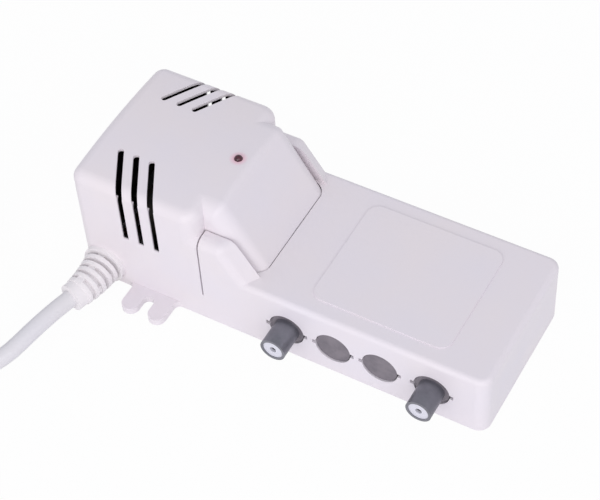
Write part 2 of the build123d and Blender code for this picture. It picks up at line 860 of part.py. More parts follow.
def transformer_core():
    """The laminated core, with its centre leg upright inside the windings."""
    x0, x1 = core_x - core_stack / 2, core_x + core_stack / 2
    core = slab(x0, x1, -core_half, core_half, core_base, core_top)
    low, high = core_base + core_leg, core_top - core_leg
    for side in (-1, 1):
        y0, y1 = sorted((side * core_leg, side * (core_half - core_leg)))
        core = core - slab(x0 - overrun, x1 + overrun, y0, y1, low, high)
    return one(core)


def bobbin():
    """The winding former, with a flange at each end and one between its two chambers."""
    hole_x, hole_y = core_stack / 2, core_leg
    x, y = hole_x + winding_gap / 2 + bobbin_wall, hole_y + winding_gap / 2 + bobbin_wall
    form = slab(core_x - x, core_x + x, -y, y, winding_base, winding_top)
    middle = (winding_base + winding_top) / 2
    for z in (winding_base, middle - bobbin_wall / 2, winding_top - bobbin_wall):
        x0, x1 = core_x - bobbin_half_x, core_x + bobbin_half_x
        form = form + slab(x0, x1, -bobbin_half_y, bobbin_half_y, z, z + bobbin_wall)
    gap = winding_gap / 2
    hole = slab(core_x - hole_x - gap, core_x + hole_x + gap, -hole_y - gap, hole_y + gap, 0, length)
    return one(form - hole)


def winding(upper):
    """One winding: a rounded ring in its chamber of the former."""
    middle = (winding_base + winding_top) / 2
    z0 = middle + bobbin_wall / 2 if upper else winding_base + bobbin_wall
    z1 = winding_top - bobbin_wall if upper else middle - bobbin_wall / 2
    x, y = bobbin_half_x - leg_thickness, bobbin_half_y - winding_gap
    ring = slab(core_x - x, core_x + x, -y, y, z0, z1)
    ring = fillet(ring.edges().filter_by(Axis.Z), 2 * bobbin_wall)
    hole_x = core_stack / 2 + winding_gap / 2 + bobbin_wall
    hole_y = core_leg + winding_gap / 2 + bobbin_wall
    return one(ring - slab(core_x - hole_x, core_x + hole_x, -hole_y, hole_y, 0, length))


def transformer_frame():
    """The steel strap over the core, with a foot at each side."""
    x0, x1 = core_x - frame_width / 2, core_x + frame_width / 2
    outer = core_half + frame_thickness
    strap = slab(x0, x1, -outer, outer, core_base, core_top + frame_thickness)
    strap = strap - slab(x0, x1, -core_half, core_half, 0, core_top)
    feet = slab(x0, x1, -outer - frame_foot, outer + frame_foot, core_base, core_base + frame_thickness)
    strap = strap + (feet - slab(x0, x1, -core_half, core_half, 0, core_top))
    for side in (-1, 1):
        hole = board_screw_diameter / 2 + screw_clearance
        strap = strap - rod((core_x, side * (outer + frame_foot / 2), 0), UP, hole, length)
    return one(strap)


def frame_screws():
    """The two screws in the strap's feet."""
    y = core_half + frame_thickness + frame_foot / 2
    top = core_base + frame_thickness
    reach = top - wall / 4
    return [screw((core_x, side * y, top + board_screw_head_height), DOWN, board_screw_diameter, reach,
                  board_screw_head, board_screw_head_height) for side in (-1, 1)]


def power_board():
    """The printed board of the power supply."""
    board = slab(supply_left, supply_right, -supply_half, supply_half, power_board_height, supply_top)
    for x, y in power_posts():
        board = board - rod((x, y, 0), UP, board_screw_diameter / 2 + screw_clearance, length)
    return one(board)


def heat_sink():
    """The bent sheet that cools the regulator."""
    x, y = on_supply(sink_shares)
    half = sink_width / 2
    sheet = slab(x, x + sink_thickness, y - half, y + half, supply_top, supply_top + sink_height)
    for way in (-1, 1):
        edge = y + way * half
        y0, y1 = sorted((edge, edge - way * sink_thickness))
        sheet = sheet + slab(x, x + sink_fin, y0, y1, supply_top, supply_top + sink_height)
    return one(sheet)


def regulator():
    """The voltage regulator, its metal tab flat against the heat sink."""
    x, y = on_supply(sink_shares)
    half = regulator_width / 2
    base = supply_top + regulator_leg
    body = slab(x - regulator_thickness, x, y - half, y + half, base, base + regulator_height)
    tab = slab(x - tab_metal, x, y - half, y + half, base, base + regulator_height + tab_height)
    body = body + tab
    for number in (-1, 0, 1):
        place = y + number * leg_spread
        leg = slab(x - regulator_thickness / 2, x - regulator_thickness / 2 + leg_thickness,
                   place - leg_thickness / 2, place + leg_thickness / 2, supply_top, base + overrun)
        body = body + leg
    return one(body)


def terminal_block():
    """The two-way block where the mains wires end."""
    x0, x1 = terminal_x - terminal_length / 2, terminal_x + terminal_length / 2
    block = slab(x0, x1, terminal_front, terminal_back, wall, wall + terminal_height)
    middle = (terminal_front + terminal_back) / 2
    for x in terminal_poles():
        block = block - rod((x, middle, wall + terminal_height / 2), UP, terminal_bore / 2, terminal_height)
    return one(block)


def terminal_poles():
    """Where the two poles of the block stand."""
    return [terminal_x - terminal_length / 4, terminal_x + terminal_length / 4]


def terminal_screw_piece(x):
    """A clamping screw in the block."""
    middle = (terminal_front + terminal_back) / 2
    foot_height = wall + terminal_height / 2
    bar = rod((x, middle, foot_height), UP, terminal_bore / 2, terminal_height / 2 - rebate)
    top = wall + terminal_height - rebate
    slot = slab(x - terminal_bore, x + terminal_bore, middle - leg_thickness / 2, middle + leg_thickness / 2,
                top - leg_thickness, top + overrun)
    return one(bar - slot)


def wire(points, diameter, radius):
    """A wire whose path turns its corners at one radius."""
    path = FilletPolyline(*points, radius=radius)
    start = Vector(*points[1]) - Vector(*points[0])
    section = Plane(origin=points[0], z_dir=start) * Circle(diameter / 2)
    return one(sweep(section, path=path))


def mains_wires():
    """The two conductors from the jacket of the cord to the terminal block."""
    y0 = relief_inner_end()
    wires = []
    for way, pole in zip((-1, 1), terminal_poles()):
        x = relief_x + way * mains_wire_spread / 2
        third = (terminal_front - y0) / 3
        points = [(x, y0, relief_height), (x, y0 + third, relief_height),
                  (pole, terminal_front - third, wall + terminal_height / 3),
                  (pole, terminal_front, wall + terminal_height / 3)]
        wires.append(wire(points, mains_wire_diameter, 2 * mains_wire_diameter))
    return wires


def relief_inner_end():
    """Where the jacket of the cord ends inside the hood."""
    return -inner_back + relief_gap + relief_clip + jacket_inside


def transformer_leads():
    """The leads from the terminal block to the primary, and from the secondary to the power board."""
    face = bobbin_half_x - leg_thickness
    level = wall + terminal_height / 3
    leads = []
    for number, pole in enumerate(terminal_poles()):
        y = terminal_back + (2 - number) * lead_rise - lead_diameter / 3
        z = winding_base + bobbin_wall + (2 - number) * lead_rise + lead_diameter / 2
        points = [(pole, terminal_back, level), (pole, y, level), (pole, y, z), (core_x - face, y, z)]
        leads.append(wire(points, lead_diameter, lead_bend))
    for number in (1, 2):
        y = -number * 2 * lead_rise
        z = winding_top - bobbin_wall - 2 * lead_rise
        x = supply_left + 2 * lead_diameter
        points = [(core_x + face, y, z), (x, y, z), (x, y, supply_top)]
        leads.append(wire(points, lead_diameter, lead_bend))
    return leads


def lamp_body():
    """The red lamp: a domed cylinder with a flange under the roof."""
    dome_top = hood_top + lamp_rise
    radius = lamp_diameter / 2
    dome = rod((lamp_x, lamp_offset, lamp_seat_height - lamp_flange_height), UP, radius,
               dome_top - radius - lamp_seat_height + lamp_flange_height)
    dome = dome + Pos(lamp_x, lamp_offset, dome_top - radius) * Sphere(radius)
    return one(dome + rod((lamp_x, lamp_offset, lamp_seat_height - lamp_flange_height), UP,
                          lamp_flange_diameter / 2, lamp_flange_height))


def lamp_leads():
    """The two square leads below the lamp."""
    top = lamp_seat_height - lamp_flange_height
    half = lamp_lead / 2
    pieces = []
    for way in (-1, 1):
        y = lamp_offset + way * lamp_lead_spread / 2
        pieces.append(slab(lamp_x - half, lamp_x + half, y - half, y + half, top - lamp_lead_length, top))
    return pieces


def lamp_wires():
    """The two wires from the lamp's leads down to the power board."""
    top = lamp_seat_height - lamp_flange_height - lamp_lead_length
    third = (top - supply_top) / 3
    wires = []
    for way in (-1, 1):
        y = lamp_offset + way * lamp_lead_spread / 2
        x = lamp_x + lamp_wire_jog
        points = [(lamp_x, y, top), (lamp_x, y, top - third), (x, y, supply_top + third), (x, y, supply_top)]
        wires.append(wire(points, lamp_wire_diameter, 3 * lamp_wire_diameter))
    return wires


def supply_wires():
    """The two wires from the power board to the amplifier board."""
    z = board_top + supply_wire_rise()
    wires = []
    for way in (-1, 1):
        y = way * lead_diameter
        x0 = supply_right - 2 * lead_diameter
        x1 = board_left + 2 * lead_diameter
        points = [(x0, y, supply_top), (x0, y, z), (x1, y, z), (x1, y, board_top)]
        wires.append(wire(points, lead_diameter, lead_bend))
    return wires


def relief_station(reach):
    """A point on the axis of the strain relief and the way that it heads there."""
    if reach <= relief_straight:
        return Vector(relief_x, front - reach, relief_height), Vector(0, -1, 0)
    turn = (reach - relief_straight) / bend_radius
    x = relief_x - bend_radius * (1 - math.cos(turn))
    y = front - relief_straight - bend_radius * math.sin(turn)
    return Vector(x, y, relief_height), Vector(-math.sin(turn), -math.cos(turn), 0)


def relief_path(start):
    """The axis of the strain relief from a height in Y to its tip."""
    bend_start, _ = relief_station(relief_straight)
    middle, _ = relief_station((relief_straight + relief_length) / 2)
    tip, _ = relief_station(relief_length)
    first = Line(Vector(relief_x, start, relief_height), bend_start)
    return Wire([first.edge(), ThreePointArc(bend_start, middle, tip).edge()])


def relief_tube(start, radius):
    """A round tube along the axis of the strain relief."""
    section = Plane(origin=(relief_x, start, relief_height), z_dir=OUT) * Circle(radius)
    return sweep(section, path=relief_path(start))


def relief_tip(reach):
    """The smooth end of the strain relief, from a reach along its axis to the tip."""
    start, way = relief_station(reach)
    middle, _ = relief_station((reach + relief_length) / 2)
    tip, _ = relief_station(relief_length)
    section = Plane(origin=start, z_dir=way) * Circle(relief_tip_diameter / 2)
    return sweep(section, path=ThreePointArc(start, middle, tip))


def relief_section(reach, thickness):
    """One short tapered section of the strain relief, across its axis."""
    point, way = relief_station(reach)
    share = (reach - relief_flange) / (relief_length - relief_flange)
    near = relief_diameter + share * (relief_tip_diameter - relief_diameter)
    share = (reach + thickness - relief_flange) / (relief_length - relief_flange)
    far = relief_diameter + share * (relief_tip_diameter - relief_diameter)
    return Plane(origin=point, z_dir=way).location * Cone(near / 2, far / 2, thickness, align=BASE)


def strain_relief():
    """The flexible sleeve: a flange, a ribbed taper, a smooth tip, and the clip inside the wall."""
    body = relief_tube(front, relief_core_diameter / 2)
    body = body + rod((relief_x, front, relief_height), OUT, relief_flange_diameter / 2, relief_flange)
    body = body + rod((relief_x, front, relief_height), IN, relief_neck_diameter / 2, wall + relief_gap)
    start = (relief_x, -inner_back + relief_gap, relief_height)
    body = body + rod(start, IN, relief_clip_diameter / 2, relief_clip)
    ribbed = relief_length - relief_cap - relief_flange
    pitch = ribbed / relief_ring_count
    for number in range(relief_ring_count):
        reach = relief_flange + (number + 1) * pitch - relief_ring
        body = body + relief_section(reach, relief_ring)
        point, way = relief_station(reach - pitch + relief_ring)
        size = relief_tip_diameter + relief_ring / 2
        turn = number % 2
        bridge = Box(relief_bridge if turn else size, size if turn else relief_bridge, pitch, align=BASE)
        body = body + Plane(origin=point, x_dir=(0, 0, 1), z_dir=way).location * bridge
    body = body + relief_tip(relief_length - relief_cap - relief_ring / 2)
    return one(body - relief_tube(relief_inner_end(), cord_radius))


def print_turns(name, points):
    """The radius of each corner of a route, as large as its runs allow."""
    points = [Vector(*point) for point in points]
    radii = []
    for before, here, after in zip(points, points[1:], points[2:]):
        into, out = here - before, after - here
        turn = math.radians(into.get_angle(out))
        radii.append(bend_share * min(into.length, out.length) / math.tan(turn / 2))
    print(name, "radii", [round(radius, 1) for radius in radii])
    return radii


def cord_tube(name, points):
    """A free stretch of the cord, along straight runs joined by arcs."""
    radii = print_turns(name, points)
    path = FilletPolyline(*points, radius=radii)
    way = Vector(*points[1]) - Vector(*points[0])
    section = Plane(origin=points[0], z_dir=way) * Circle(cord_radius)
    tube = one(sweep(section, path=path))
    due = math.pi * cord_radius**2 * path.length
    print(name, "length", round(path.length, 1), "volume share", round(tube.volume / due, 4))
    return tube


def lead_route():
    """The points of the cord from the strain relief to the coil."""
    tip, way = relief_station(relief_length)
    second = tip + way * lead_first_run
    third = Vector(lead_corner_x, lead_corner_y, cord_radius + cord_rest)
    end = coil_start() + Vector(cord_diameter, 0, 0)
    fourth = Vector(lead_corner_x - lead_corner_run, end.Y, coil_height)
    return [tuple(point) for point in (tip, second, third, fourth, end)]


def tail_route():
    """The points of the cord from the coil to the plug."""
    x = coil_centre_x - coil_radius
    start = Vector(x, coil_centre_y, coil_top_height)
    end = Vector(x, start.Y + tail_reach, plug_height)
    second = start + Vector(0, tail_first_run, 0)
    third = end - Vector(0, tail_last_run, 0)
    return [tuple(point) for point in (start, second, third, end)]


def coil_radii():
    """The coil's reach at the end of each half turn: in, round, and out again."""
    step = coil_pitch / 2
    inwards = [coil_radius - number * step for number in range(coil_half_turns)]
    tucked = coil_radius - coil_half_turns * step - coil_tuck
    return inwards + [tucked, tucked] + inwards[::-1]


def coil_start():
    """Where the coil's first turn starts, at its far side, halfway round its first half turn."""
    reach = coil_radii()
    middle_x = coil_centre_x + (reach[0] - reach[1]) / 2
    return Vector(middle_x, coil_centre_y - (reach[0] + reach[1]) / 2, coil_height)


def climbing_edges(start, end, side, half):
    """The half turn that climbs to the upper layer, as two arcs in space."""
    depth = math.sqrt(half**2 + coil_layer**2 / 4)
    joint = Vector((start.X + end.X) / 2, coil_centre_y - side * depth, (start.Z + end.Z) / 2)
    first = TangentArc(start, joint, tangent=(0, -side, 0)).edge()
    last = TangentArc(end, joint, tangent=(0, -side, 0)).edge()
    return [first, last.reversed() if hasattr(last, "reversed") else last]


def coil_edges():
    """The arcs of the coil's path: a quarter turn, then half turns, one of which climbs."""
    reach = coil_radii()
    edges = []
    for number in range(len(reach) - 1):
        side = 1 if number % 2 == 0 else -1
        low = coil_height if number <= coil_half_turns else coil_top_height
        high = coil_top_height if number >= coil_half_turns else coil_height
        start = Vector(coil_centre_x + side * reach[number], coil_centre_y, low)
        end = Vector(coil_centre_x - side * reach[number + 1], coil_centre_y, high)
        half = (reach[number] + reach[number + 1]) / 2
        if number == 0:
            edges.append(TangentArc(coil_start(), end, tangent=(-1, 0, 0)).edge())
        elif number == coil_half_turns:
            edges += climbing_edges(start, end, side, half)
        else:
            outer = ((start.X + end.X) / 2, coil_centre_y - side * half, low)
            edges.append(ThreePointArc(start, outer, end).edge())
    return edges


def coil_path():
    """The whole path of the coil, straight for one diameter at its start."""
    start = coil_start()
    first = Line(start + Vector(cord_diameter, 0, 0), start).edge()
    return Wire([first] + coil_edges())


def print_coil_gap(path):
    """The least room between the coil's turns, measured on points of its path."""
    count = 720
    points = [path.position_at(number / count) for number in range(count + 1)]
    apart = int(count * math.pi * coil_radius / path.length / 2)
    least = min((points[i] - points[j]).length for i in range(count + 1) for j in range(i + apart, count + 1))
    print("coil least room between turns", round(least - cord_diameter, 3))


def cord_coil():
    """The wound rest of the cord, in one tube."""
    path = coil_path()
    print_coil_gap(path)
    section = Plane(origin=path.position_at(0), z_dir=(-1, 0, 0)) * Circle(cord_radius)
    tube = one(sweep(section, path=path))
    due = math.pi * cord_radius**2 * path.length
    print("coil length", round(path.length, 1), "volume share", round(tube.volume / due, 4))
    return tube


def cord_tie():
    """The strap round the coil's turns at its side towards the object."""
    reach = coil_radii()
    inner = (reach[coil_half_turns - 1] + reach[coil_half_turns]) / 2 - cord_radius - tie_gap - tie_sag
    outer = (reach[1] + reach[2]) / 2 + cord_radius + tie_gap
    low, high = coil_height - cord_radius - tie_gap, coil_top_height + cord_radius + tie_gap
    x0, x1 = coil_centre_x - tie_width / 2, coil_centre_x + tie_width / 2
    y = coil_centre_y
    t = tie_thickness
    band = slab(x0, x1, y + inner - t, y + outer + t, low - t, high + t)
    band = fillet(band.edges().filter_by(Axis.X), t)
    return one(band - slab(x0 - t, x1 + t, y + inner, y + outer, low, high))


def plug_body():
    """The flat moulded plug, wide at its grip, with a ribbed collar on the cord."""
    x = coil_centre_x - coil_radius
    rear = tail_route()[-1][1]
    face = rear + plug_collar_length + plug_length
    outline = []
    for share, wide in plug_outline_shares:
        half = plug_grip_width / 2 + wide * (plug_width - plug_grip_width) / 2
        outline.append((x + half, face - share * plug_length))
    outline = outline + [(2 * x - px, py) for px, py in outline[::-1]]
    body = extrude(make_face(Polyline(*outline, close=True)), plug_thickness)
    uprights = body.edges().filter_by(Axis.Z)
    body = fillet(uprights, plug_edge_radius / 2)
    upper = [edge for edge in body.edges() if edge.center().Z > plug_thickness - rebate]
    body = fillet(upper, plug_edge_radius)
    body = fillet([edge for edge in body.edges() if edge.center().Z < rebate], plug_edge_radius)
    collar = rod((x, rear, plug_height), IN, plug_collar_diameter / 2, plug_collar_length + plug_edge_radius)
    body = body + collar
    ring = plug_collar_length / 8
    for number in range(3):
        start = rear + (2 * number + 1) * ring
        groove = rod((x, start, plug_height), IN, plug_collar_diameter, ring)
        groove = groove - rod((x, start, plug_height), IN, plug_collar_diameter / 2 - ring / 2, ring)
        body = body - groove
    for px in pin_places():
        body = body - rod((px, face - pin_root, plug_height), IN, pin_diameter / 2, 2 * pin_root)
    return one(body)


def pin_places():
    """Where the two pins stand."""
    x = coil_centre_x - coil_radius
    return [x - pin_spacing / 2, x + pin_spacing / 2]


def plug_pin(x, sleeve):
    """One pin of the plug, or the insulating sleeve on its first part."""
    face = tail_route()[-1][1] + plug_collar_length + plug_length
    radius = pin_diameter / 2
    thin = radius - leg_thickness / 2
    if sleeve:
        ring = rod((x, face, plug_height), IN, radius, pin_sleeve_length)
        return one(ring - rod((x, face - overrun, plug_height), IN, thin, length))
    pin = rod((x, face - pin_root, plug_height), IN, radius, pin_root + pin_length)
    waist = rod((x, face, plug_height), IN, pin_diameter, pin_sleeve_length)
    waist = waist - rod((x, face - overrun, plug_height), IN, thin, length)
    pin = pin - waist
    return one(fillet(pin.edges().sort_by(Axis.Y)[-1:], thin / 2))


def build():
    """Make each piece and write it."""
    save("main_housing", main_housing())
    save("amplifier_cover", amplifier_cover())
    save("bottom_plate", bottom_plate())
    reach = screw_length + wall - screw_head_height
    sizes = (screw_diameter, reach, screw_head_diameter, screw_head_height)
    save("bottom_plate_screws", *[screw((x, y, 0), UP, *sizes) for x, y in plate_bosses])
    save("cover_screws", *[screw((x, back_post_y, 0), UP, *sizes) for x in post_x])
    top = lug_height + lug_thickness + screw_head_height
    save("chassis_screws", *[screw((x, back_post_y, top), DOWN, screw_diameter, screw_length,
                                   screw_head_diameter, screw_head_height) for x in lug_x])
    save("diecast_chassis", chassis())
    save("chassis_lid", chassis_lid())
    for name, x in (("input_socket", live_sockets[0]), ("output_socket", live_sockets[1])):
        save(name + "_barrel", socket_barrel(x))
        save(name + "_insulator", socket_insulator(x))
        save(name + "_contact", socket_contact(x))
    save("amplifier_board", amplifier_board())
    save("board_screws", *[board_screw(x, y, board_top) for x, y in board_posts()])
    save("gain_trimmer_body", trimmer_body())
    save("gain_trimmer_rotor", trimmer_rotor())
    save("rf_transistors", *[transistor(*on_board(shares)) for shares in transistor_shares])
    save("ferrite_cores", *[ferrite(*on_board(shares)) for shares in core_shares])
    save("ceramic_capacitors", *[disc_capacitor(*on_board(shares)) for shares in disc_shares])
    sizes = (board_top, resistor_diameter, resistor_length)
    save("resistors", *[axial(*on_board(shares), *sizes) for shares in resistor_shares])
    sizes = (board_top, small_can_diameter, small_can_height)
    save("small_electrolytic", *[can_capacitor(*on_board(shares), *sizes) for shares in small_can_shares])
    save("supply_wires", *supply_wires())
    build_supply()
    build_cord()


def build_supply():
    """Make the pieces of the power supply and the lamp."""
    save("transformer_core", transformer_core())
    save("transformer_bobbin", bobbin())
    save("primary_winding", winding(False))
    save("secondary_winding", winding(True))
    save("transformer_frame", transformer_frame())
    save("transformer_screws", *frame_screws())
    save("power_board", power_board())
    save("power_board_screws", *[board_screw(x, y, supply_top) for x, y in power_posts()])
    sizes = (supply_top, diode_diameter, diode_length)
    save("rectifier_diodes", *[axial(*on_supply(shares), *sizes) for shares in diode_shares])
    sizes = (supply_top, smoothing_diameter, smoothing_height)
    save("smoothing_capacitor", can_capacitor(*on_supply(smoothing_shares), *sizes))
    save("voltage_regulator", regulator())
    save("heat_sink", heat_sink())
    save("terminal_block", terminal_block())
    save("terminal_screws", *[terminal_screw_piece(x) for x in terminal_poles()])
    save("mains_wires", *mains_wires())
    save("transformer_leads", *transformer_leads())
    save("lamp_body", lamp_body())
    save("lamp_leads", *lamp_leads())
    save("lamp_wires", *lamp_wires())


def build_cord():
    """Make the strain relief, the cord, its coil and the plug."""
    save("strain_relief", strain_relief())
    save("cord_entry", one(relief_tube(relief_inner_end(), cord_radius)))
    save("mains_cord", cord_tube("mains cord", lead_route()))
    save("cord_coil", cord_coil())
    save("cord_tie", cord_tie())
    save("cord_tail", cord_tube("cord tail", tail_route()))
    save("plug_body", plug_body())
    save("plug_pins", *[plug_pin(x, False) for x in pin_places()])
    save("plug_pin_sleeves", *[plug_pin(x, True) for x in pin_places()])


build()
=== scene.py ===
"""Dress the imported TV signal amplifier: camera, studio, mains lead, finishes and fine details."""

import json
import logging
import math
from dataclasses import dataclass, field
from enum import Enum
from typing import Any, Sequence

import bpy
from mathutils import Matrix, Vector

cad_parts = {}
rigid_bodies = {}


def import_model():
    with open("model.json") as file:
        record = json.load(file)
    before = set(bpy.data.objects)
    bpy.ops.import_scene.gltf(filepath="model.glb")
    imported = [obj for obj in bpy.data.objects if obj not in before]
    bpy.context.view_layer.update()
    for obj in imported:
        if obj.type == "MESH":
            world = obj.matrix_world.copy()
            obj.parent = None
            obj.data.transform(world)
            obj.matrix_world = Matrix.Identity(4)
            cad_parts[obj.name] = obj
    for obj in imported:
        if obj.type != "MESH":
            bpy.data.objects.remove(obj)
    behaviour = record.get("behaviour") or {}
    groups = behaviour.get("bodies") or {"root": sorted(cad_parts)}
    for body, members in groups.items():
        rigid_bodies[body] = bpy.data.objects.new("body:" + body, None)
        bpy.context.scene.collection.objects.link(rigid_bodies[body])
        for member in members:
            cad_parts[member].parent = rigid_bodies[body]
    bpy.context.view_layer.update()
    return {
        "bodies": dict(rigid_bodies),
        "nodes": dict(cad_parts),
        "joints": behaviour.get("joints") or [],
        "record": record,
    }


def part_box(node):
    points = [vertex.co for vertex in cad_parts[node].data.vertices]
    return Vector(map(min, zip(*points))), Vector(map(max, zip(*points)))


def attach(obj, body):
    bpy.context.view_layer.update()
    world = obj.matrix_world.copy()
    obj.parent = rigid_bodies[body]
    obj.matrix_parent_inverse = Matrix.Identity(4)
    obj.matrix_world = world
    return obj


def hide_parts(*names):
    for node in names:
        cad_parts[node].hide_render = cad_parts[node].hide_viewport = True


LOG = logging.getLogger("amplifier")
Colour = tuple[float, float, float]
Point = tuple[float, float, float]
WHITE: Colour = (1.0, 1.0, 1.0)
MM = 0.001  # one millimetre in metres
WELD = 1.0e-6  # vertices nearer than this are one, in metres
MIDDLE = 0.5  # the value that noise varies about
CLOUD_SCALE = 38.0  # cells per metre of the faint clouds in plastic
CLOUD_LOW = 0.42
CLOUD_SHARE = 1.6
CLOUD_GLOSS = 0.16
FLOW_SCALE = 9.0  # cells per metre of the flow marks in plastic
FLOW_SHARE = 1.2
TINT_BIAS = 0.3
GRAIN_GLOSS = 0.12
GRAIN_RELIEF = 0.55
PLASTIC_IOR = 1.5


class Grain(Enum):
    """The texture that a moulded piece takes from its tool: cells per metre, and depth in metres."""

    SATIN = (2600.0, 2.0e-5)
    FINE = (4200.0, 1.2e-5)
    SOFT = (900.0, 3.0e-5)


class Signal:
    """A socket's value, on which plain Python operators add Math nodes."""

    def __init__(self, bench: "ShaderBench", socket: Any) -> None:
        """Keep the socket and the bench that it belongs to.

        Args:
            bench: The bench whose node tree holds the socket.
            socket: The output socket that carries the value.
        """
        self.bench = bench
        self.socket = socket

    def _math(self, operation: str, first: Any, second: Any) -> "Signal":
        """Add one Math node and return its result."""
        return self.bench.node("ShaderNodeMath", {"operation": operation}, {0: first, 1: second})

    def __add__(self, other: Any) -> "Signal":
        """Add a value or another signal."""
        return self._math("ADD", self, other)

    __radd__ = __add__

    def __mul__(self, other: Any) -> "Signal":
        """Multiply by a value or another signal."""
        return self._math("MULTIPLY", self, other)

    __rmul__ = __mul__

    def __sub__(self, other: Any) -> "Signal":
        """Subtract a value or another signal."""
        return self._math("SUBTRACT", self, other)

    def __rsub__(self, other: Any) -> "Signal":
        """Subtract this signal from a value."""
        return self._math("SUBTRACT", other, self)

    def __truediv__(self, other: Any) -> "Signal":
        """Divide by a value or another signal."""
        return self._math("DIVIDE", self, other)

    def clamped(self) -> "Signal":
        """Hold the signal between 0 and 1."""
        return self._math("MINIMUM", self._math("MAXIMUM", self, 0.0), 1.0)

    def stretched(self, low: float, gain: float) -> "Signal":
        """Count the signal from a low value, multiply it and hold it between 0 and 1.

        Args:
            low: The value that gives 0.
            gain: The factor.

        Returns:
            The stretched signal.
        """
        return ((self - low) * gain).clamped()

    def above(self, limit: Any) -> "Signal":
        """Give 1 where the signal is over a limit, and 0 elsewhere."""
        return self._math("GREATER_THAN", self, limit)

    def wave(self) -> "Signal":
        """Take the sine of the signal."""
        return self._math("SINE", self, 0.0)


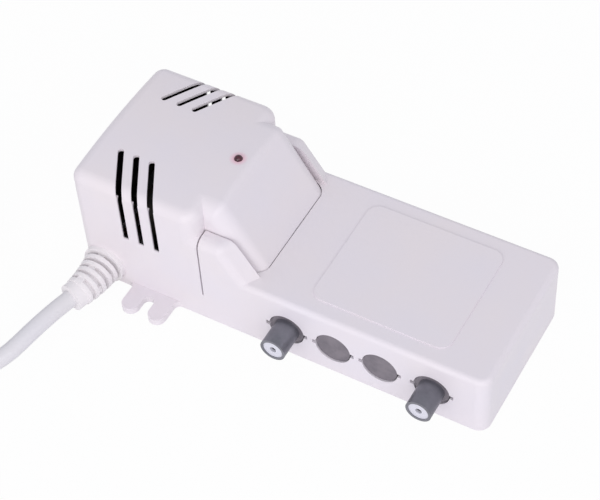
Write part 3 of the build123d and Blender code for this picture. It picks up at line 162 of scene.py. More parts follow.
class ShaderBench:
    """One material under construction."""

    def __init__(self, name: str) -> None:
        """Start an empty material.

        Args:
            name: The material's name.
        """
        self.material = bpy.data.materials.new(name)
        self.material.use_nodes = True
        self.tree = self.material.node_tree
        self.tree.nodes.clear()
        self.output = self.tree.nodes.new("ShaderNodeOutputMaterial")
        self.place = self.node("ShaderNodeTexCoord", {}, {}, "Object")

    def node(self, kind: str, settings: dict[str, Any], inputs: dict[Any, Any], out: Any = 0) -> Signal:
        """Add a node, set it up and join its sockets.

        Args:
            kind: The node's type.
            settings: Attributes to set first; a ramp's stops come as "stops".
            inputs: Values or signals for sockets, by name or number.
            out: The output that is returned, by name or number.

        Returns:
            The node's chosen output as a signal.
        """
        made = self.tree.nodes.new(kind)
        for key, value in settings.items():
            if key == "stops":
                self._stops(made.color_ramp, value)
            else:
                setattr(made, key, value)
        for key, value in inputs.items():
            socket = made.inputs[key]
            if isinstance(value, Signal):
                self.tree.links.new(value.socket, socket)
            else:
                socket.default_value = value
        return Signal(self, made.outputs[out])

    @staticmethod
    def _stops(ramp: Any, stops: Sequence[tuple[float, Colour]]) -> None:
        """Fill a colour ramp with its stops."""
        while len(ramp.elements) > 1:
            ramp.elements.remove(ramp.elements[-1])
        for number, (position, colour) in enumerate(stops):
            element = ramp.elements[0] if number == 0 else ramp.elements.new(position)
            element.position = position
            element.color = (*colour, 1.0)

    def axis(self, name: str) -> Signal:
        """One coordinate of the surface point in metres: X, Y or Z."""
        return self.node("ShaderNodeSeparateXYZ", {}, {0: self.place}, name)

    def distance(self, centre: Point) -> Signal:
        """How far the surface point is from a place, in metres."""
        return self.vector("DISTANCE", self.place, centre, "Value")

    def vector(self, operation: str, first: Any, second: Any = None, out: Any = 0) -> Signal:
        """Add one Vector Math node.

        Args:
            operation: What the node does.
            first: Its first vector.
            second: Its second vector, where it takes one.
            out: The output that is returned, by name or number.

        Returns:
            The node's result.
        """
        vectors = {0: first} if second is None else {0: first, 1: second}
        return self.node("ShaderNodeVectorMath", {"operation": operation}, vectors, out)

    def facing(self, name: str) -> Signal:
        """One part of the direction that the surface faces: X, Y or Z."""
        normal = self.node("ShaderNodeNewGeometry", {}, {}, "Normal")
        return self.node("ShaderNodeSeparateXYZ", {}, {0: normal}, name)

    def ridges(self, name: str, pitch: float) -> Signal:
        """Even ridges along one axis.

        Args:
            name: The axis: X, Y or Z.
            pitch: From one ridge to the next, in millimetres.

        Returns:
            0 in the grooves and 1 on the crests.
        """
        return (self.axis(name) * (math.tau / (pitch * MM))).wave() * 0.5 + 0.5

    def noise(self, scale: float, detail: float = 3.0, rough: float = 0.5) -> Signal:
        """Noise in space, as a value about 0.5.

        Args:
            scale: Cells per metre.
            detail: Octaves of finer noise.
            rough: How strong the finer noise is.

        Returns:
            The noise's value.
        """
        inputs = {"Vector": self.place, "Scale": scale, "Detail": detail, "Roughness": rough}
        return self.node("ShaderNodeTexNoise", {}, inputs)

    def blend(self, factor: Any, first: Any, second: Any) -> Signal:
        """Mix two colours by a factor.

        Args:
            factor: 0 gives the first colour and 1 the second.
            first: The first colour.
            second: The second colour.

        Returns:
            The mixed colour.
        """
        made = self.tree.nodes.new("ShaderNodeMix")
        made.data_type = "RGBA"
        for socket, value in ((made.inputs[0], factor), (made.inputs[6], first), (made.inputs[7], second)):
            if isinstance(value, Signal):
                self.tree.links.new(value.socket, socket)
            else:
                socket.default_value = (*value, 1.0) if isinstance(value, tuple) else value
        return Signal(self, made.outputs[2])

    def bump(self, height: Signal, distance: float, strength: float = 1.0) -> Signal:
        """Turn a height into a shading normal.

        Args:
            height: The height, as a share of the distance.
            distance: The full height in metres.
            strength: How much of it shows.

        Returns:
            The changed normal.
        """
        inputs = {"Height": height, "Distance": distance, "Strength": strength}
        return self.node("ShaderNodeBump", {}, inputs, "Normal")

    def clouded(self, clouds: Signal, colour: Colour, tint: Colour) -> Signal:
        """Colour plastic by its faint clouds and the wider flow marks of its mould.

        Args:
            clouds: The noise of the clouds.
            colour: The main colour.
            tint: The colour that it drifts to.

        Returns:
            The varying colour.
        """
        flow = (self.noise(FLOW_SCALE, 2.0) - MIDDLE) * FLOW_SHARE
        mix = ((clouds - CLOUD_LOW) * CLOUD_SHARE + flow + TINT_BIAS).clamped()
        return self.blend(mix, colour, tint)

    def moulded(self, clouds: Signal, grain: Grain, roughness: float) -> dict[str, Any]:
        """The gloss and the relief of a moulded face.

        Args:
            clouds: The noise of the clouds.
            grain: The texture of the tool.
            roughness: The roughness that the face varies about.

        Returns:
            Inputs of the Principled shader, for finish.
        """
        scale, depth = grain.value
        height = self.noise(scale, 3.0, 0.6)
        rough = (clouds - MIDDLE) * CLOUD_GLOSS + (height - MIDDLE) * GRAIN_GLOSS + roughness
        relief = self.bump(height, depth, GRAIN_RELIEF)
        return {"Roughness": rough.clamped(), "Normal": relief, "IOR": PLASTIC_IOR}

    def finish(self, **sockets: Any) -> bpy.types.Material:
        """Close the material with one Principled shader.

        Args:
            **sockets: Its inputs, with underscores for the spaces in their names.

        Returns:
            The finished material.
        """
        inputs: dict[Any, Any] = {}
        for key, value in sockets.items():
            colour = isinstance(value, tuple) and len(value) == 3
            inputs[key.replace("_", " ")] = (*value, 1.0) if colour else value
        shader = self.node("ShaderNodeBsdfPrincipled", {}, inputs)
        self.tree.links.new(shader.socket, self.output.inputs["Surface"])
        return self.material


@dataclass(frozen=True)
class MouldedPlastic:
    """Plastic from a mould, with the faint clouds and grain of its surface."""

    name: str
    colour: Colour
    tint: Colour
    roughness: float = 0.42
    grain: Grain = Grain.SATIN

    def make(self) -> bpy.types.Material:
        """Build the material."""
        bench = ShaderBench(self.name)
        clouds = bench.noise(CLOUD_SCALE)
        return bench.finish(
            Base_Color=bench.clouded(clouds, self.colour, self.tint),
            **bench.moulded(clouds, self.grain, self.roughness),
        )


@dataclass(frozen=True)
class DullMetal:
    """Cast, plated or rolled metal with its grain and slight staining."""

    name: str
    colour: Colour
    stain: Colour
    roughness: float = 0.45
    metallic: float = 1.0
    grain_scale: float = 1800.0
    depth: float = 3.0e-5
    patch_scale: float = 160.0
    patch_gloss: float = 0.25
    grain_gloss: float = 0.2
    relief: float = 0.7

    def make(self) -> bpy.types.Material:
        """Build the material."""
        bench = ShaderBench(self.name)
        patches = bench.noise(self.patch_scale, 4.0, 0.6)
        grain = bench.noise(self.grain_scale, 3.0, 0.65)
        rough = (patches - MIDDLE) * self.patch_gloss + (grain - MIDDLE) * self.grain_gloss + self.roughness
        return bench.finish(
            Base_Color=bench.blend(patches.stretched(0.4, 2.0), self.colour, self.stain),
            Roughness=rough.clamped(),
            Metallic=self.metallic,
            Normal=bench.bump(grain, self.depth, self.relief),
        )


@dataclass(frozen=True)
class CasePlastic:
    """The white case, with a painted pink glow where the lamp shines on it and painted shade inside the
    hood.

    Lengths and places are in millimetres. The hood is taken as a round-edged box that starts below
    the floor, and everything deeper in it than the skin is painted near-black as shade.
    """

    name: str
    colour: Colour
    tint: Colour
    # pink of the painted glow round the lamp
    painted_glow: Colour
    lamp: Point
    roughness: float = 0.4
    lamp_radius: float = 1.5
    painted_glow_reach: float = 1.9
    painted_glow_share: float = 0.8
    fleck: Colour = (0.60, 0.57, 0.60)
    fleck_scale: float = 1500.0
    fleck_share: float = 0.12
    # near-black of the painted shade inside the hood
    painted_shade: Colour = (0.012, 0.010, 0.012)
    hood_middle: Point = (-57.75, 0.0, -24.35)
    hood_half: Point = (21.75, 30.0, 75.65)
    hood_corner: float = 6.0
    skin: float = 0.4
    skin_edge: float = 0.1
    floor_edge: float = 3.0

    def painted_shade_mask(self, bench: ShaderBench) -> Signal:
        """Mark the faces that lie deeper in the hood than its outer skin, where near-black shade is painted.

        Args:
            bench: The bench of this material.

        Returns:
            1 inside the hood, 0 on its outside and on the rest of the case.
        """
        middle = tuple(value * MM for value in self.hood_middle)
        reach = tuple((value - self.hood_corner) * MM for value in self.hood_half)
        offset = bench.vector("SUBTRACT", bench.place, middle)
        beyond = bench.vector("SUBTRACT", bench.vector("ABSOLUTE", offset), reach)
        outside = bench.vector("MAXIMUM", beyond, (0.0, 0.0, 0.0))
        depth = self.hood_corner - bench.vector("LENGTH", outside, out="Value") / MM
        return depth.stretched(self.skin, 1.0 / self.skin_edge) * bench.axis("Z").above(self.floor_edge * MM)

    def make(self) -> bpy.types.Material:
        """Build the material."""
        bench = ShaderBench(self.name)
        clouds = bench.noise(CLOUD_SCALE)
        shell = bench.clouded(clouds, self.colour, self.tint)
        flecks = bench.noise(self.fleck_scale, 2.0).stretched(0.66, 3.0) * self.fleck_share
        dusty = bench.blend(flecks, shell, self.fleck)
        lamp = tuple(value * MM for value in self.lamp)
        # Painted glow: the case is tinted pink near the lamp, standing in for its light.
        away = (bench.distance(lamp) / MM - self.lamp_radius) / self.painted_glow_reach
        with_painted_glow = bench.blend((1.0 - away).clamped() * self.painted_glow_share, dusty, self.painted_glow)
        # Painted shade: faces deep inside the hood are coloured near-black.
        return bench.finish(
            Base_Color=bench.blend(self.painted_shade_mask(bench), with_painted_glow, self.painted_shade),
            **bench.moulded(clouds, Grain.SATIN, self.roughness),
        )


@dataclass(frozen=True)
class PrintedBoard:
    """Brown board above, with green lacquer over its copper below."""

    name: str
    bare: Colour
    stain: Colour
    lacquer: Colour
    track: Colour
    fibre_scale: float = 700.0
    track_scale: float = 210.0
    fibre_relief: float = 0.3
    roughness: float = 0.55
    lacquer_gloss: float = 0.25
    depth: float = 4.0e-5
    relief: float = 0.8

    def make(self) -> bpy.types.Material:
        """Build the material."""
        bench = ShaderBench(self.name)
        fibres = bench.noise(self.fibre_scale, 4.0, 0.65)
        brown = bench.blend(fibres.stretched(0.4, 2.2), self.bare, self.stain)
        cells = bench.node(
            "ShaderNodeTexVoronoi",
            {"feature": "DISTANCE_TO_EDGE"},
            {"Vector": bench.place, "Scale": self.track_scale},
            "Distance",
        )
        copper = cells.stretched(0.06, 30.0)
        under = (bench.facing("Z") * -1.0).stretched(0.5, 4.0)
        return bench.finish(
            Base_Color=bench.blend(under, brown, bench.blend(copper, self.lacquer, self.track)),
            Roughness=self.roughness - under * self.lacquer_gloss,
            Normal=bench.bump(fibres * self.fibre_relief + copper * under, self.depth, self.relief),
        )


@dataclass(frozen=True)
class StackedSheets:
    """Steel sheets in a stack, with the edge of each one showing."""

    name: str
    colour: Colour
    rust: Colour
    groove: Colour = (0.02, 0.018, 0.016)
    sheet: float = 0.5
    patch_scale: float = 240.0
    groove_share: float = 0.6
    roughness: float = 0.42
    patch_gloss: float = 0.3
    metallic: float = 0.75
    patch_relief: float = 0.3
    depth: float = 6.0e-5
    relief: float = 0.8

    def make(self) -> bpy.types.Material:
        """Build the material."""
        bench = ShaderBench(self.name)
        ridges = bench.ridges("X", self.sheet)
        patches = bench.noise(self.patch_scale, 4.0, 0.65)
        side = 1.0 - (bench.facing("X") * bench.facing("X")).stretched(0.5, 4.0)
        steel = bench.blend(patches.stretched(0.45, 2.4), self.colour, self.rust)
        return bench.finish(
            Base_Color=bench.blend((1.0 - ridges) * side * self.groove_share, steel, self.groove),
            Roughness=((patches - MIDDLE) * self.patch_gloss + self.roughness).clamped(),
            Metallic=self.metallic,
            Normal=bench.bump(ridges * side + patches * self.patch_relief, self.depth, self.relief),
        )


@dataclass(frozen=True)
class ShrunkSleeve:
    """The blue sleeve of a capacitor, with a pale stripe and a bare metal top."""

    name: str
    centre: Point
    radius: float
    top: float
    sleeve: Colour = (0.015, 0.035, 0.15)
    shade: Colour = (0.05, 0.09, 0.26)
    stripe: Colour = (0.55, 0.60, 0.68)
    metal: Colour = (0.72, 0.72, 0.74)
    shade_scale: float = 420.0
    shade_share: float = 0.4
    stripe_share: float = 0.28
    bare_share: float = 0.82
    roughness: float = 0.30
    shade_gloss: float = 0.15
    metallic: float = 0.9
    depth: float = 3.0e-5
    relief: float = 0.5

    def make(self) -> bpy.types.Material:
        """Build the material."""
        bench = ShaderBench(self.name)
        across = bench.axis("X") - self.centre[0]
        beside = (across * across / (self.radius * self.stripe_share) ** 2).stretched(0.9, 10.0)
        front = (self.centre[1] - bench.axis("Y")).above(0.0)
        shade = bench.noise(self.shade_scale, 2.0)
        blue = bench.blend(shade.stretched(0.45, 1.5) * self.shade_share, self.sleeve, self.shade)
        striped = bench.blend((1.0 - beside) * front, blue, self.stripe)
        away = bench.distance((self.centre[0], self.centre[1], self.top))
        bare = 1.0 - away.above(self.radius * self.bare_share)
        return bench.finish(
            Base_Color=bench.blend(bare, striped, self.metal),
            Roughness=(shade - MIDDLE) * self.shade_gloss + self.roughness,
            Metallic=bare * self.metallic,
            Normal=bench.bump(shade, self.depth, self.relief),
        )


@dataclass(frozen=True)
class WoundCopper:
    """Enamelled wire, with painted shade where turns lie against each other."""

    name: str
    colour: Colour
    shade: Colour
    # colour of the painted shade in the grooves between turns
    groove: Colour = (0.10, 0.03, 0.01)
    pitch: float = 0.62
    wobble_scale: float = 300.0
    groove_share: float = 0.5
    roughness: float = 0.28
    wobble_gloss: float = 0.2
    metallic: float = 0.7
    coat: float = 0.5
    coat_roughness: float = 0.12
    depth: float = 5.0e-5
    relief: float = 0.5

    def make(self) -> bpy.types.Material:
        """Build the material."""
        bench = ShaderBench(self.name)
        turns = bench.ridges("Z", self.pitch)
        wobble = bench.noise(self.wobble_scale)
        enamel = bench.blend(wobble.stretched(0.4, 1.8), self.colour, self.shade)
        # Painted shade: the grooves between turns are darkened towards the groove colour.
        return bench.finish(
            Base_Color=bench.blend((1.0 - turns) * self.groove_share, enamel, self.groove),
            Roughness=(wobble - MIDDLE) * self.wobble_gloss + self.roughness,
            Metallic=self.metallic,
            Coat_Weight=self.coat,
            Coat_Roughness=self.coat_roughness,
            Normal=bench.bump(turns, self.depth, self.relief),
        )


@dataclass(frozen=True)
class ClearLens:
    """The tinted plastic of the indicator lamp."""

    name: str
    colour: Colour
    core: Colour
    core_scale: float = 900.0
    roughness: float = 0.3
    coat: float = 0.35
    coat_roughness: float = 0.15
    ior: float = 1.53

    def make(self) -> bpy.types.Material:
        """Build the material."""
        bench = ShaderBench(self.name)
        depth = bench.noise(self.core_scale, 2.0).stretched(0.45, 2.5)
        return bench.finish(
            Base_Color=bench.blend(depth, self.colour, self.core),
            Roughness=self.roughness,
            Coat_Weight=self.coat,
            Coat_Roughness=self.coat_roughness,
            IOR=self.ior,
        )


@dataclass(frozen=True)
class SoftLight:
    """One square soft light of the studio."""

    name: str
    place: Point
    size: float
    watts: float
    colour: Colour

    def hang(self, aim: Point) -> None:
        """Hang the light so that it faces a point.

        Args:
            aim: The point, in metres.
        """
        data = bpy.data.lights.new(self.name, "AREA")
        data.size = self.size
        data.energy = self.watts
        data.color = self.colour
        lamp = bpy.data.objects.new(self.name, data)
        lamp.location = self.place
        lamp.rotation_mode = "QUATERNION"
        lamp.rotation_quaternion = (Vector(aim) - Vector(self.place)).to_track_quat("-Z", "Y")
        bpy.context.scene.collection.objects.link(lamp)


@dataclass
class Studio:
    """The camera at the photograph's viewpoint, the pale floor and the soft light."""

    azimuth: float = 32.17
    elevation: float = 50.20
    roll: float = -4.04
    distance: float = 0.68085
    target: Point = (-0.01451, 0.01215, 0.0)
    lens: float = 111.98
    sensor: float = 36.0
    clip: tuple[float, float] = (0.05, 20.0)
    room_colour: Colour = (0.93, 0.94, 1.0)
    room_strength: float = 0.70
    floor_size: float = 6.0
    floor_level: float = -0.0004
    floor_colour: Colour = (0.86, 0.86, 0.87)
    floor_glow: float = 0.96
    aim: Point = (0.0, 0.0, 0.02)
    lights: tuple[SoftLight, ...] = (
        SoftLight("front_lamp", (0.1, -1.4, 0.7), 1.0, 5.5, (1.0, 0.955, 0.955)),
        SoftLight("low_lamp", (-0.1, -1.5, 0.25), 0.8, 1.2, (1.0, 0.96, 0.96)),
        SoftLight("side_lamp", (1.1, -0.9, 1.0), 1.0, 5.9, (1.0, 0.97, 0.975)),
    )

    def make_camera(self) -> None:
        """Place the camera."""
        az, el, roll = (math.radians(angle) for angle in (self.azimuth, self.elevation, self.roll))
        back = Vector((math.sin(az) * math.cos(el), -math.cos(az) * math.cos(el), math.sin(el)))
        right = Vector((math.cos(az), math.sin(az), 0.0))
        up = back.cross(right)
        turned_right = right * math.cos(roll) + up * math.sin(roll)
        turned_up = up * math.cos(roll) - right * math.sin(roll)
        data = bpy.data.cameras.new("camera")
        data.sensor_width = self.sensor
        data.lens = self.lens
        data.clip_start, data.clip_end = self.clip
        camera = bpy.data.objects.new("camera", data)
        frame = Matrix((turned_right, turned_up, back)).transposed()
        camera.matrix_world = Matrix.Translation(Vector(self.target) + back * self.distance) @ frame.to_4x4()
        bpy.context.scene.collection.objects.link(camera)
        bpy.context.scene.camera = camera

    def make_world(self) -> None:
        """Fill the room with soft light and show white behind the object."""
        world = bpy.data.worlds.new("room")
        bpy.context.scene.world = world
        world.use_nodes = True
        tree = world.node_tree
        tree.nodes.clear()
        path = tree.nodes.new("ShaderNodeLightPath")
        seen = tree.nodes.new("ShaderNodeMath")
        seen.operation = "MAXIMUM"
        tree.links.new(path.outputs["Is Camera Ray"], seen.inputs[0])
        tree.links.new(path.outputs["Is Transmission Ray"], seen.inputs[1])
        mix = tree.nodes.new("ShaderNodeMixShader")
        tree.links.new(seen.outputs[0], mix.inputs[0])
        shades = ((self.room_colour, self.room_strength), (WHITE, 1.0))
        for number, (colour, strength) in enumerate(shades, start=1):
            shade = tree.nodes.new("ShaderNodeBackground")
            shade.inputs["Color"].default_value = (*colour, 1.0)
            shade.inputs["Strength"].default_value = strength
            tree.links.new(shade.outputs[0], mix.inputs[number])
        out = tree.nodes.new("ShaderNodeOutputWorld")
        tree.links.new(mix.outputs[0], out.inputs["Surface"])

    def make_floor(self) -> None:
        """Lay a wide pale floor that keeps a faint shadow."""
        bpy.ops.mesh.primitive_plane_add(size=self.floor_size, location=(0.0, 0.0, self.floor_level))
        floor = bpy.context.object
        floor.name = "studio_floor"
        bench = ShaderBench("floor_paint")
        path = bench.tree.nodes.new("ShaderNodeLightPath")
        rays = (Signal(bench, path.outputs[name]) for name in ("Is Camera Ray", "Is Glossy Ray"))
        seen = bench.node("ShaderNodeMath", {"operation": "MAXIMUM"}, dict(enumerate(rays)))
        paint = bench.node("ShaderNodeBsdfDiffuse", {}, {"Color": (*self.floor_colour, 1.0)})
        glow = bench.node("ShaderNodeEmission", {}, {"Color": (*WHITE, 1.0), "Strength": 1.0})
        mixed = bench.node("ShaderNodeMixShader", {}, {0: seen * self.floor_glow, 1: paint, 2: glow})
        bench.tree.links.new(mixed.socket, bench.output.inputs["Surface"])
        floor.data.materials.append(bench.material)

    def make(self) -> None:
        """Set up the whole studio."""
        bpy.context.scene.view_settings.view_transform = "Standard"
        self.make_camera()
        self.make_world()
        self.make_floor()
        for light in self.lights:
            light.hang(self.aim)


@dataclass
class MainsLead:
    """The white mains cord on one smooth line: its free stretch, its coil and its tail.

    Lengths and places are in millimetres. The coil goes down inwards on the floor and comes out again
    on top of itself.
    """

    diameter: float = 6.4
    length: float = 1520.0
    coil_centre: tuple[float, float] = (-158.4, -55.0)
    coil_reach: float = 46.5
    coil_pitch: float = 6.95
    coil_tuck: float = 1.0
    coil_low: float = 4.3
    coil_rise: float = 6.95
    halves_down: int = 6
    per_half: int = 8
    order: int = 3
    line_segments: int = 6
    ring_segments: int = 8
    jacket: MouldedPlastic = MouldedPlastic(
        "cord_jacket", (0.76, 0.745, 0.765), (0.735, 0.73, 0.775), 0.36, Grain.SOFT
    )
    start: tuple[Point, ...] = (
        (-72.562, -49.795, 8.2),
        (-75.63, -59.84, 8.2),
        (-82.1, -86.0, 3.4),
        (-99.6, -99.762, 4.3),
        (-150.26, -99.762, 4.3),
    )
    end: tuple[Point, ...] = (
        (-204.9, -55.0, 11.25),
        (-204.9, -45.0, 11.25),
        (-204.9, -31.0, 6.85),
        (-204.9, -21.0, 6.85),
    )

    def reaches(self) -> list[float]:
        """The coil's reach at the ends of its half turns.

        Returns:
            Distances from the coil's centre in millimetres, inwards and then outwards again.
        """
        inwards = [self.coil_reach - self.coil_pitch / 2 * number for number in range(self.halves_down)]
        inwards.append(inwards[-1] - self.coil_pitch / 2 - self.coil_tuck)
        return inwards + inwards[::-1]

    def coil_points(self) -> list[Point]:
        """The control points of the coil's turns.

        Returns:
            Points in millimetres, clockwise as seen from above.
        """
        reaches = self.reaches()
        step = math.pi / self.per_half
        points = []
        for half, (first, last) in enumerate(zip(reaches, reaches[1:])):
            side = 1.0 if half % 2 == 0 else -1.0
            radius = (first + last) / 2 / math.cos(step / 2)
            middle = self.coil_centre[0] + side * (first - last) / 2
            for number in range(self.per_half // 2 if half == 0 else 0, self.per_half):
                angle = step * (number + 0.5)
                climbed = min(max(half - self.halves_down + (number + 0.5) / self.per_half, 0.0), 1.0)
                points.append(
                    (
                        middle + side * radius * math.cos(angle),
                        self.coil_centre[1] - side * radius * math.sin(angle),
                        self.coil_low + self.coil_rise * climbed,
                    )
                )
        return points

    def make(self) -> bpy.types.Object:
        """Returns:
            The cord's curve object.
        """
        data = bpy.data.curves.new("mains_lead", "CURVE")
        data.dimensions = "3D"
        data.bevel_depth = self.diameter / 2 * MM
        data.bevel_resolution = self.ring_segments
        data.use_fill_caps = True
        points = [*self.start, *self.coil_points(), *self.end]
        spline = data.splines.new("NURBS")
        spline.points.add(len(points) - 1)
        for place, point in zip(points, spline.points):
            point.co = (place[0] * MM, place[1] * MM, place[2] * MM, 1.0)
        spline.use_endpoint_u = True
        spline.order_u = self.order
        spline.resolution_u = self.line_segments
        cord = bpy.data.objects.new("mains_lead", data)
        bpy.context.scene.collection.objects.link(cord)
        data.materials.append(self.jacket.make())
        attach(cord, "housing")
        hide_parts("mains_cord", "cord_coil", "cord_tail")
        LOG.info("mains lead with %d points", len(points))
        return cord


class Workshop:
    """Edit-mode moves that the modelled pieces share."""

    @staticmethod
    def start(name: str) -> bpy.types.Object:
        """Name the new primitive and open it for editing.

        Args:
            name: The piece's name.

        Returns:
            The piece.
        """
        piece = bpy.context.object
        piece.name = name
        piece.data.name = name
        bpy.ops.object.mode_set(mode="EDIT")
        return piece

    @staticmethod
    def close(piece: bpy.types.Object, angle: float) -> None:
        """Leave edit mode with clean normals and smooth shading.

        Args:
            piece: The piece that is being edited.
            angle: Edges sharper than this stay crisp, in degrees.
        """
        bpy.ops.mesh.select_all(action="SELECT")
        bpy.ops.mesh.remove_doubles(threshold=WELD)
        bpy.ops.mesh.normals_make_consistent(inside=False)
        bpy.ops.object.mode_set(mode="OBJECT")
        bpy.ops.object.transform_apply(location=True, rotation=True, scale=True)
        bpy.ops.object.shade_smooth_by_angle(angle=math.radians(angle))
        LOG.info("%s modelled with %d faces", piece.name, len(piece.data.polygons))


@dataclass
class TransformerCoils:
    """The two copper coils, each a stack of turns round the former. Lengths are in millimetres."""

    corner: float = 1.9
    corner_segments: int = 5
    pitch: float = 0.62
    swell: float = 0.16
    flank: float = 0.3
    crisp: float = 60.0
    core_reach: tuple[float, float] = (8.62, 8.12)
    overrun: float = 2.0

    def make_coil(self, name: str, node: str) -> bpy.types.Object:
        """Model one coil in the space of its node.

        Args:
            name: The new piece's name.
            node: The node that it replaces.

        Returns:
            The finished coil.
        """
        low, high = (Vector(corner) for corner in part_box(node))
        middle, half = (low + high) / 2, (high - low) / 2
        turns = int(round(2 * half.z / (self.pitch * MM)))
        step = 2 * half.z / turns
        grow = 1.0 + 2 * self.swell * MM / half.x
        bpy.ops.object.select_all(action="DESELECT")
        bpy.ops.mesh.primitive_plane_add(size=2.0, location=(middle.x, middle.y, low.z))
        coil = Workshop.start(name)
        side = (half.x - self.swell * MM, half.y - self.swell * MM, 1.0)
        bpy.ops.transform.resize(value=side, center_override=(middle.x, middle.y, low.z))
        bpy.ops.mesh.bevel(offset=self.corner * MM, segments=self.corner_segments, affect="VERTICES")
        for _ in range(turns):
            self.lift(step * self.flank, grow, middle)
            self.lift(step * (1.0 - 2 * self.flank), 1.0, middle)
            self.lift(step * self.flank, 1.0 / grow, middle)
        Workshop.close(coil, self.crisp)
        self.bore(coil, middle, high.z - low.z)
        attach(coil, "housing")
        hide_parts(node)
        return coil

    @staticmethod
    def lift(height: float, scale: float, middle: Vector) -> None:
        """Draw the top face upwards by one step, wider or narrower.

        Args:
            height: How far up it goes, in metres.
            scale: How much wider it becomes.
            middle: The coil's middle.
        """
        bpy.ops.mesh.extrude_region_move(TRANSFORM_OT_translate={"value": (0.0, 0.0, height)})
        if scale != 1.0:
            bpy.ops.transform.resize(value=(scale, scale, 1.0), center_override=(middle.x, middle.y, 0.0))

    def bore(self, coil: bpy.types.Object, middle: Vector, height: float) -> None:
        """Cut the former's square hole through a coil.

        Args:
            coil: The solid stack of turns.
            middle: The coil's middle.
            height: The coil's height, in metres.
        """
        bpy.ops.object.select_all(action="DESELECT")
        bpy.ops.mesh.primitive_cube_add(size=2.0, location=middle)
        core = Workshop.start("coil_core")
        half = (self.core_reach[0] * MM, self.core_reach[1] * MM, height / 2 + self.overrun * MM)
        bpy.ops.transform.resize(value=half, center_override=middle)
        bpy.ops.object.mode_set(mode="OBJECT")
        bpy.ops.object.transform_apply(location=True, rotation=True, scale=True)
        bpy.context.view_layer.objects.active = coil
        cut = coil.modifiers.new("core_hole", "BOOLEAN")
        cut.object = core
        cut.operation = "DIFFERENCE"
        cut.solver = "EXACT"
        bpy.ops.object.modifier_apply(modifier=cut.name)
        bpy.data.objects.remove(core, do_unlink=True)

    def make(self, copper: bpy.types.Material) -> None:
        """Model both coils and dress them.

        Args:
            copper: The material of the wire.
        """
        for name, node in (("primary_turns", "primary_winding"), ("secondary_turns", "secondary_winding")):
            coil = self.make_coil(name, node)
            coil.data.materials.append(copper)


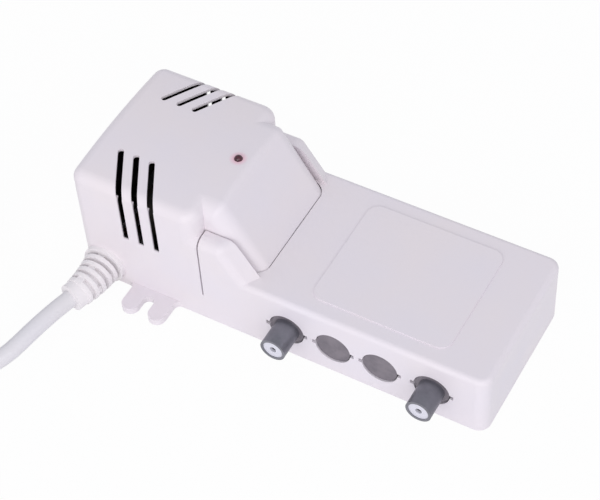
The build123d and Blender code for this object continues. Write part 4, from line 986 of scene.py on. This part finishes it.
@dataclass
class Finishes:
    """Every finish of the carried-over nodes, by the record's material slot."""

    table: dict[str, Any] = field(
        default_factory=lambda: {
            # The third colour is the painted pink glow near the lamp, whose place follows.
            "white_plastic": CasePlastic(
                "white_case", (0.83, 0.775, 0.80), (0.80, 0.765, 0.825), (0.88, 0.50, 0.60),
                (-29.6, 0.8, 52.9)
            ),
            "white_pvc": MouldedPlastic(
                "soft_pvc", (0.88, 0.85, 0.86), (0.86, 0.84, 0.87), 0.45, Grain.SOFT
            ),
            "lamp_red": ClearLens("lamp_lens", (0.040, 0.001, 0.010), (0.10, 0.002, 0.018)),
            "grey_metal": DullMetal(
                "cast_zinc", (0.24, 0.215, 0.245), (0.14, 0.13, 0.155), 0.6, 0.35, 900.0, 6.0e-5
            ),
            "socket_metal": DullMetal(
                "socket_plate", (0.215, 0.215, 0.245), (0.14, 0.14, 0.165), 0.38, 0.6
            ),
            "insulator_white": MouldedPlastic(
                "socket_insulator", (0.74, 0.74, 0.80), (0.70, 0.70, 0.78), 0.35, Grain.FINE
            ),
            "tinplate": DullMetal("tinplate", (0.60, 0.60, 0.58), (0.45, 0.45, 0.44), 0.35),
            "screw_steel": DullMetal("zinc_screws", (0.55, 0.55, 0.56), (0.40, 0.40, 0.38), 0.35),
            "contact_metal": DullMetal("plated_contact", (0.40, 0.38, 0.33), (0.28, 0.26, 0.22), 0.3),
            "board": PrintedBoard(
                "circuit_board", (0.33, 0.20, 0.08), (0.25, 0.14, 0.05), (0.02, 0.10, 0.035),
                (0.05, 0.20, 0.06)
            ),
            "black_part": MouldedPlastic(
                "black_epoxy", (0.02, 0.02, 0.02), (0.03, 0.03, 0.035), 0.4, Grain.FINE
            ),
            "ferrite": DullMetal("ferrite", (0.05, 0.05, 0.055), (0.08, 0.08, 0.08), 0.6, 0.3),
            "ceramic": MouldedPlastic(
                "ceramic_dip", (0.50, 0.22, 0.05), (0.42, 0.17, 0.04), 0.35, Grain.SOFT
            ),
            "resistor": MouldedPlastic(
                "resistor_lacquer", (0.62, 0.50, 0.28), (0.52, 0.40, 0.22), 0.35, Grain.SOFT
            ),
            "trimmer_blue": MouldedPlastic(
                "trimmer_case", (0.02, 0.12, 0.40), (0.02, 0.10, 0.34), 0.4, Grain.FINE
            ),
            "trimmer_white": MouldedPlastic(
                "trimmer_disc", (0.80, 0.80, 0.77), (0.72, 0.72, 0.68), 0.4, Grain.FINE
            ),
            "wire_red": MouldedPlastic(
                "red_wire", (0.42, 0.015, 0.012), (0.34, 0.012, 0.01), 0.35, Grain.SOFT
            ),
            "wire_brown": MouldedPlastic(
                "brown_wire", (0.13, 0.05, 0.02), (0.10, 0.035, 0.015), 0.35, Grain.SOFT
            ),
            "copper": WoundCopper("enamelled_copper", (0.55, 0.20, 0.06), (0.42, 0.14, 0.04)),
            "core_steel": StackedSheets("laminated_core", (0.06, 0.057, 0.054), (0.10, 0.07, 0.05)),
            "former": MouldedPlastic(
                "nylon_former", (0.030, 0.030, 0.032), (0.045, 0.045, 0.045), 0.45, Grain.SOFT
            ),
            "aluminium": DullMetal("bare_aluminium", (0.72, 0.72, 0.73), (0.62, 0.62, 0.63), 0.32),
            "terminal": MouldedPlastic(
                "terminal_nylon", (0.62, 0.62, 0.57), (0.56, 0.56, 0.52), 0.45, Grain.SOFT
            ),
            "plug_plastic": MouldedPlastic("plug_moulding", (0.80, 0.78, 0.82), (0.78, 0.77, 0.84), 0.38),
            "pin_metal": DullMetal("plated_pins", (0.66, 0.63, 0.57), (0.55, 0.52, 0.46), 0.22),
            "sleeve_black": MouldedPlastic(
                "black_sleeve", (0.025, 0.025, 0.027), (0.04, 0.04, 0.042), 0.45, Grain.SOFT
            ),
        }
    )
    own: dict[str, Any] = field(
        default_factory=lambda: {
            "transformer_frame": DullMetal(
                "lacquered_strap", (0.05, 0.048, 0.046), (0.09, 0.07, 0.055), 0.5, 0.6
            ),
        }
    )
    cans: tuple[str, ...] = ("smoothing_capacitor", "small_electrolytic")

    def dress(self, frame: dict[str, Any]) -> None:
        """Give every carried-over node its finish.

        Args:
            frame: The loaded frame.
        """
        for row in frame["record"]["subparts"]:
            node = frame["nodes"][row["node"]]
            node.data.materials.clear()
            node.data.materials.append(self.material(row["material_slot"], row["node"]))
            LOG.info("%s wears %s", row["node"], row["material_slot"])

    def material(self, slot: str, node: str = "") -> bpy.types.Material:
        """The material of a slot, made when it is first asked for.

        Args:
            slot: The record's material slot.
            node: The node that wears it, where that node has a finish of its own.

        Returns:
            The finished material.
        """
        finish = self.own.get(node) or self.table[slot]
        if finish.name not in bpy.data.materials:
            finish.make()
        return bpy.data.materials[finish.name]

    def add_cans(self) -> None:
        """Give each capacitor can a sleeve with its stripe and its bare top."""
        for node in self.cans:
            low, high = (Vector(corner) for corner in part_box(node))
            middle = (low + high) / 2
            self.own[node] = ShrunkSleeve(
                node + "_sleeve", (middle.x, middle.y, low.z), (high.x - low.x) / 2, high.z
            )


def main() -> None:
    """Load the frame, build the scene and report each piece."""
    logging.basicConfig(level=logging.INFO, format="%(name)s: %(message)s")
    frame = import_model()
    Studio().make()
    MainsLead().make()
    finishes = Finishes()
    finishes.add_cans()
    finishes.dress(frame)
    TransformerCoils().make(finishes.material("copper"))


if __name__ == "__main__":
    main()
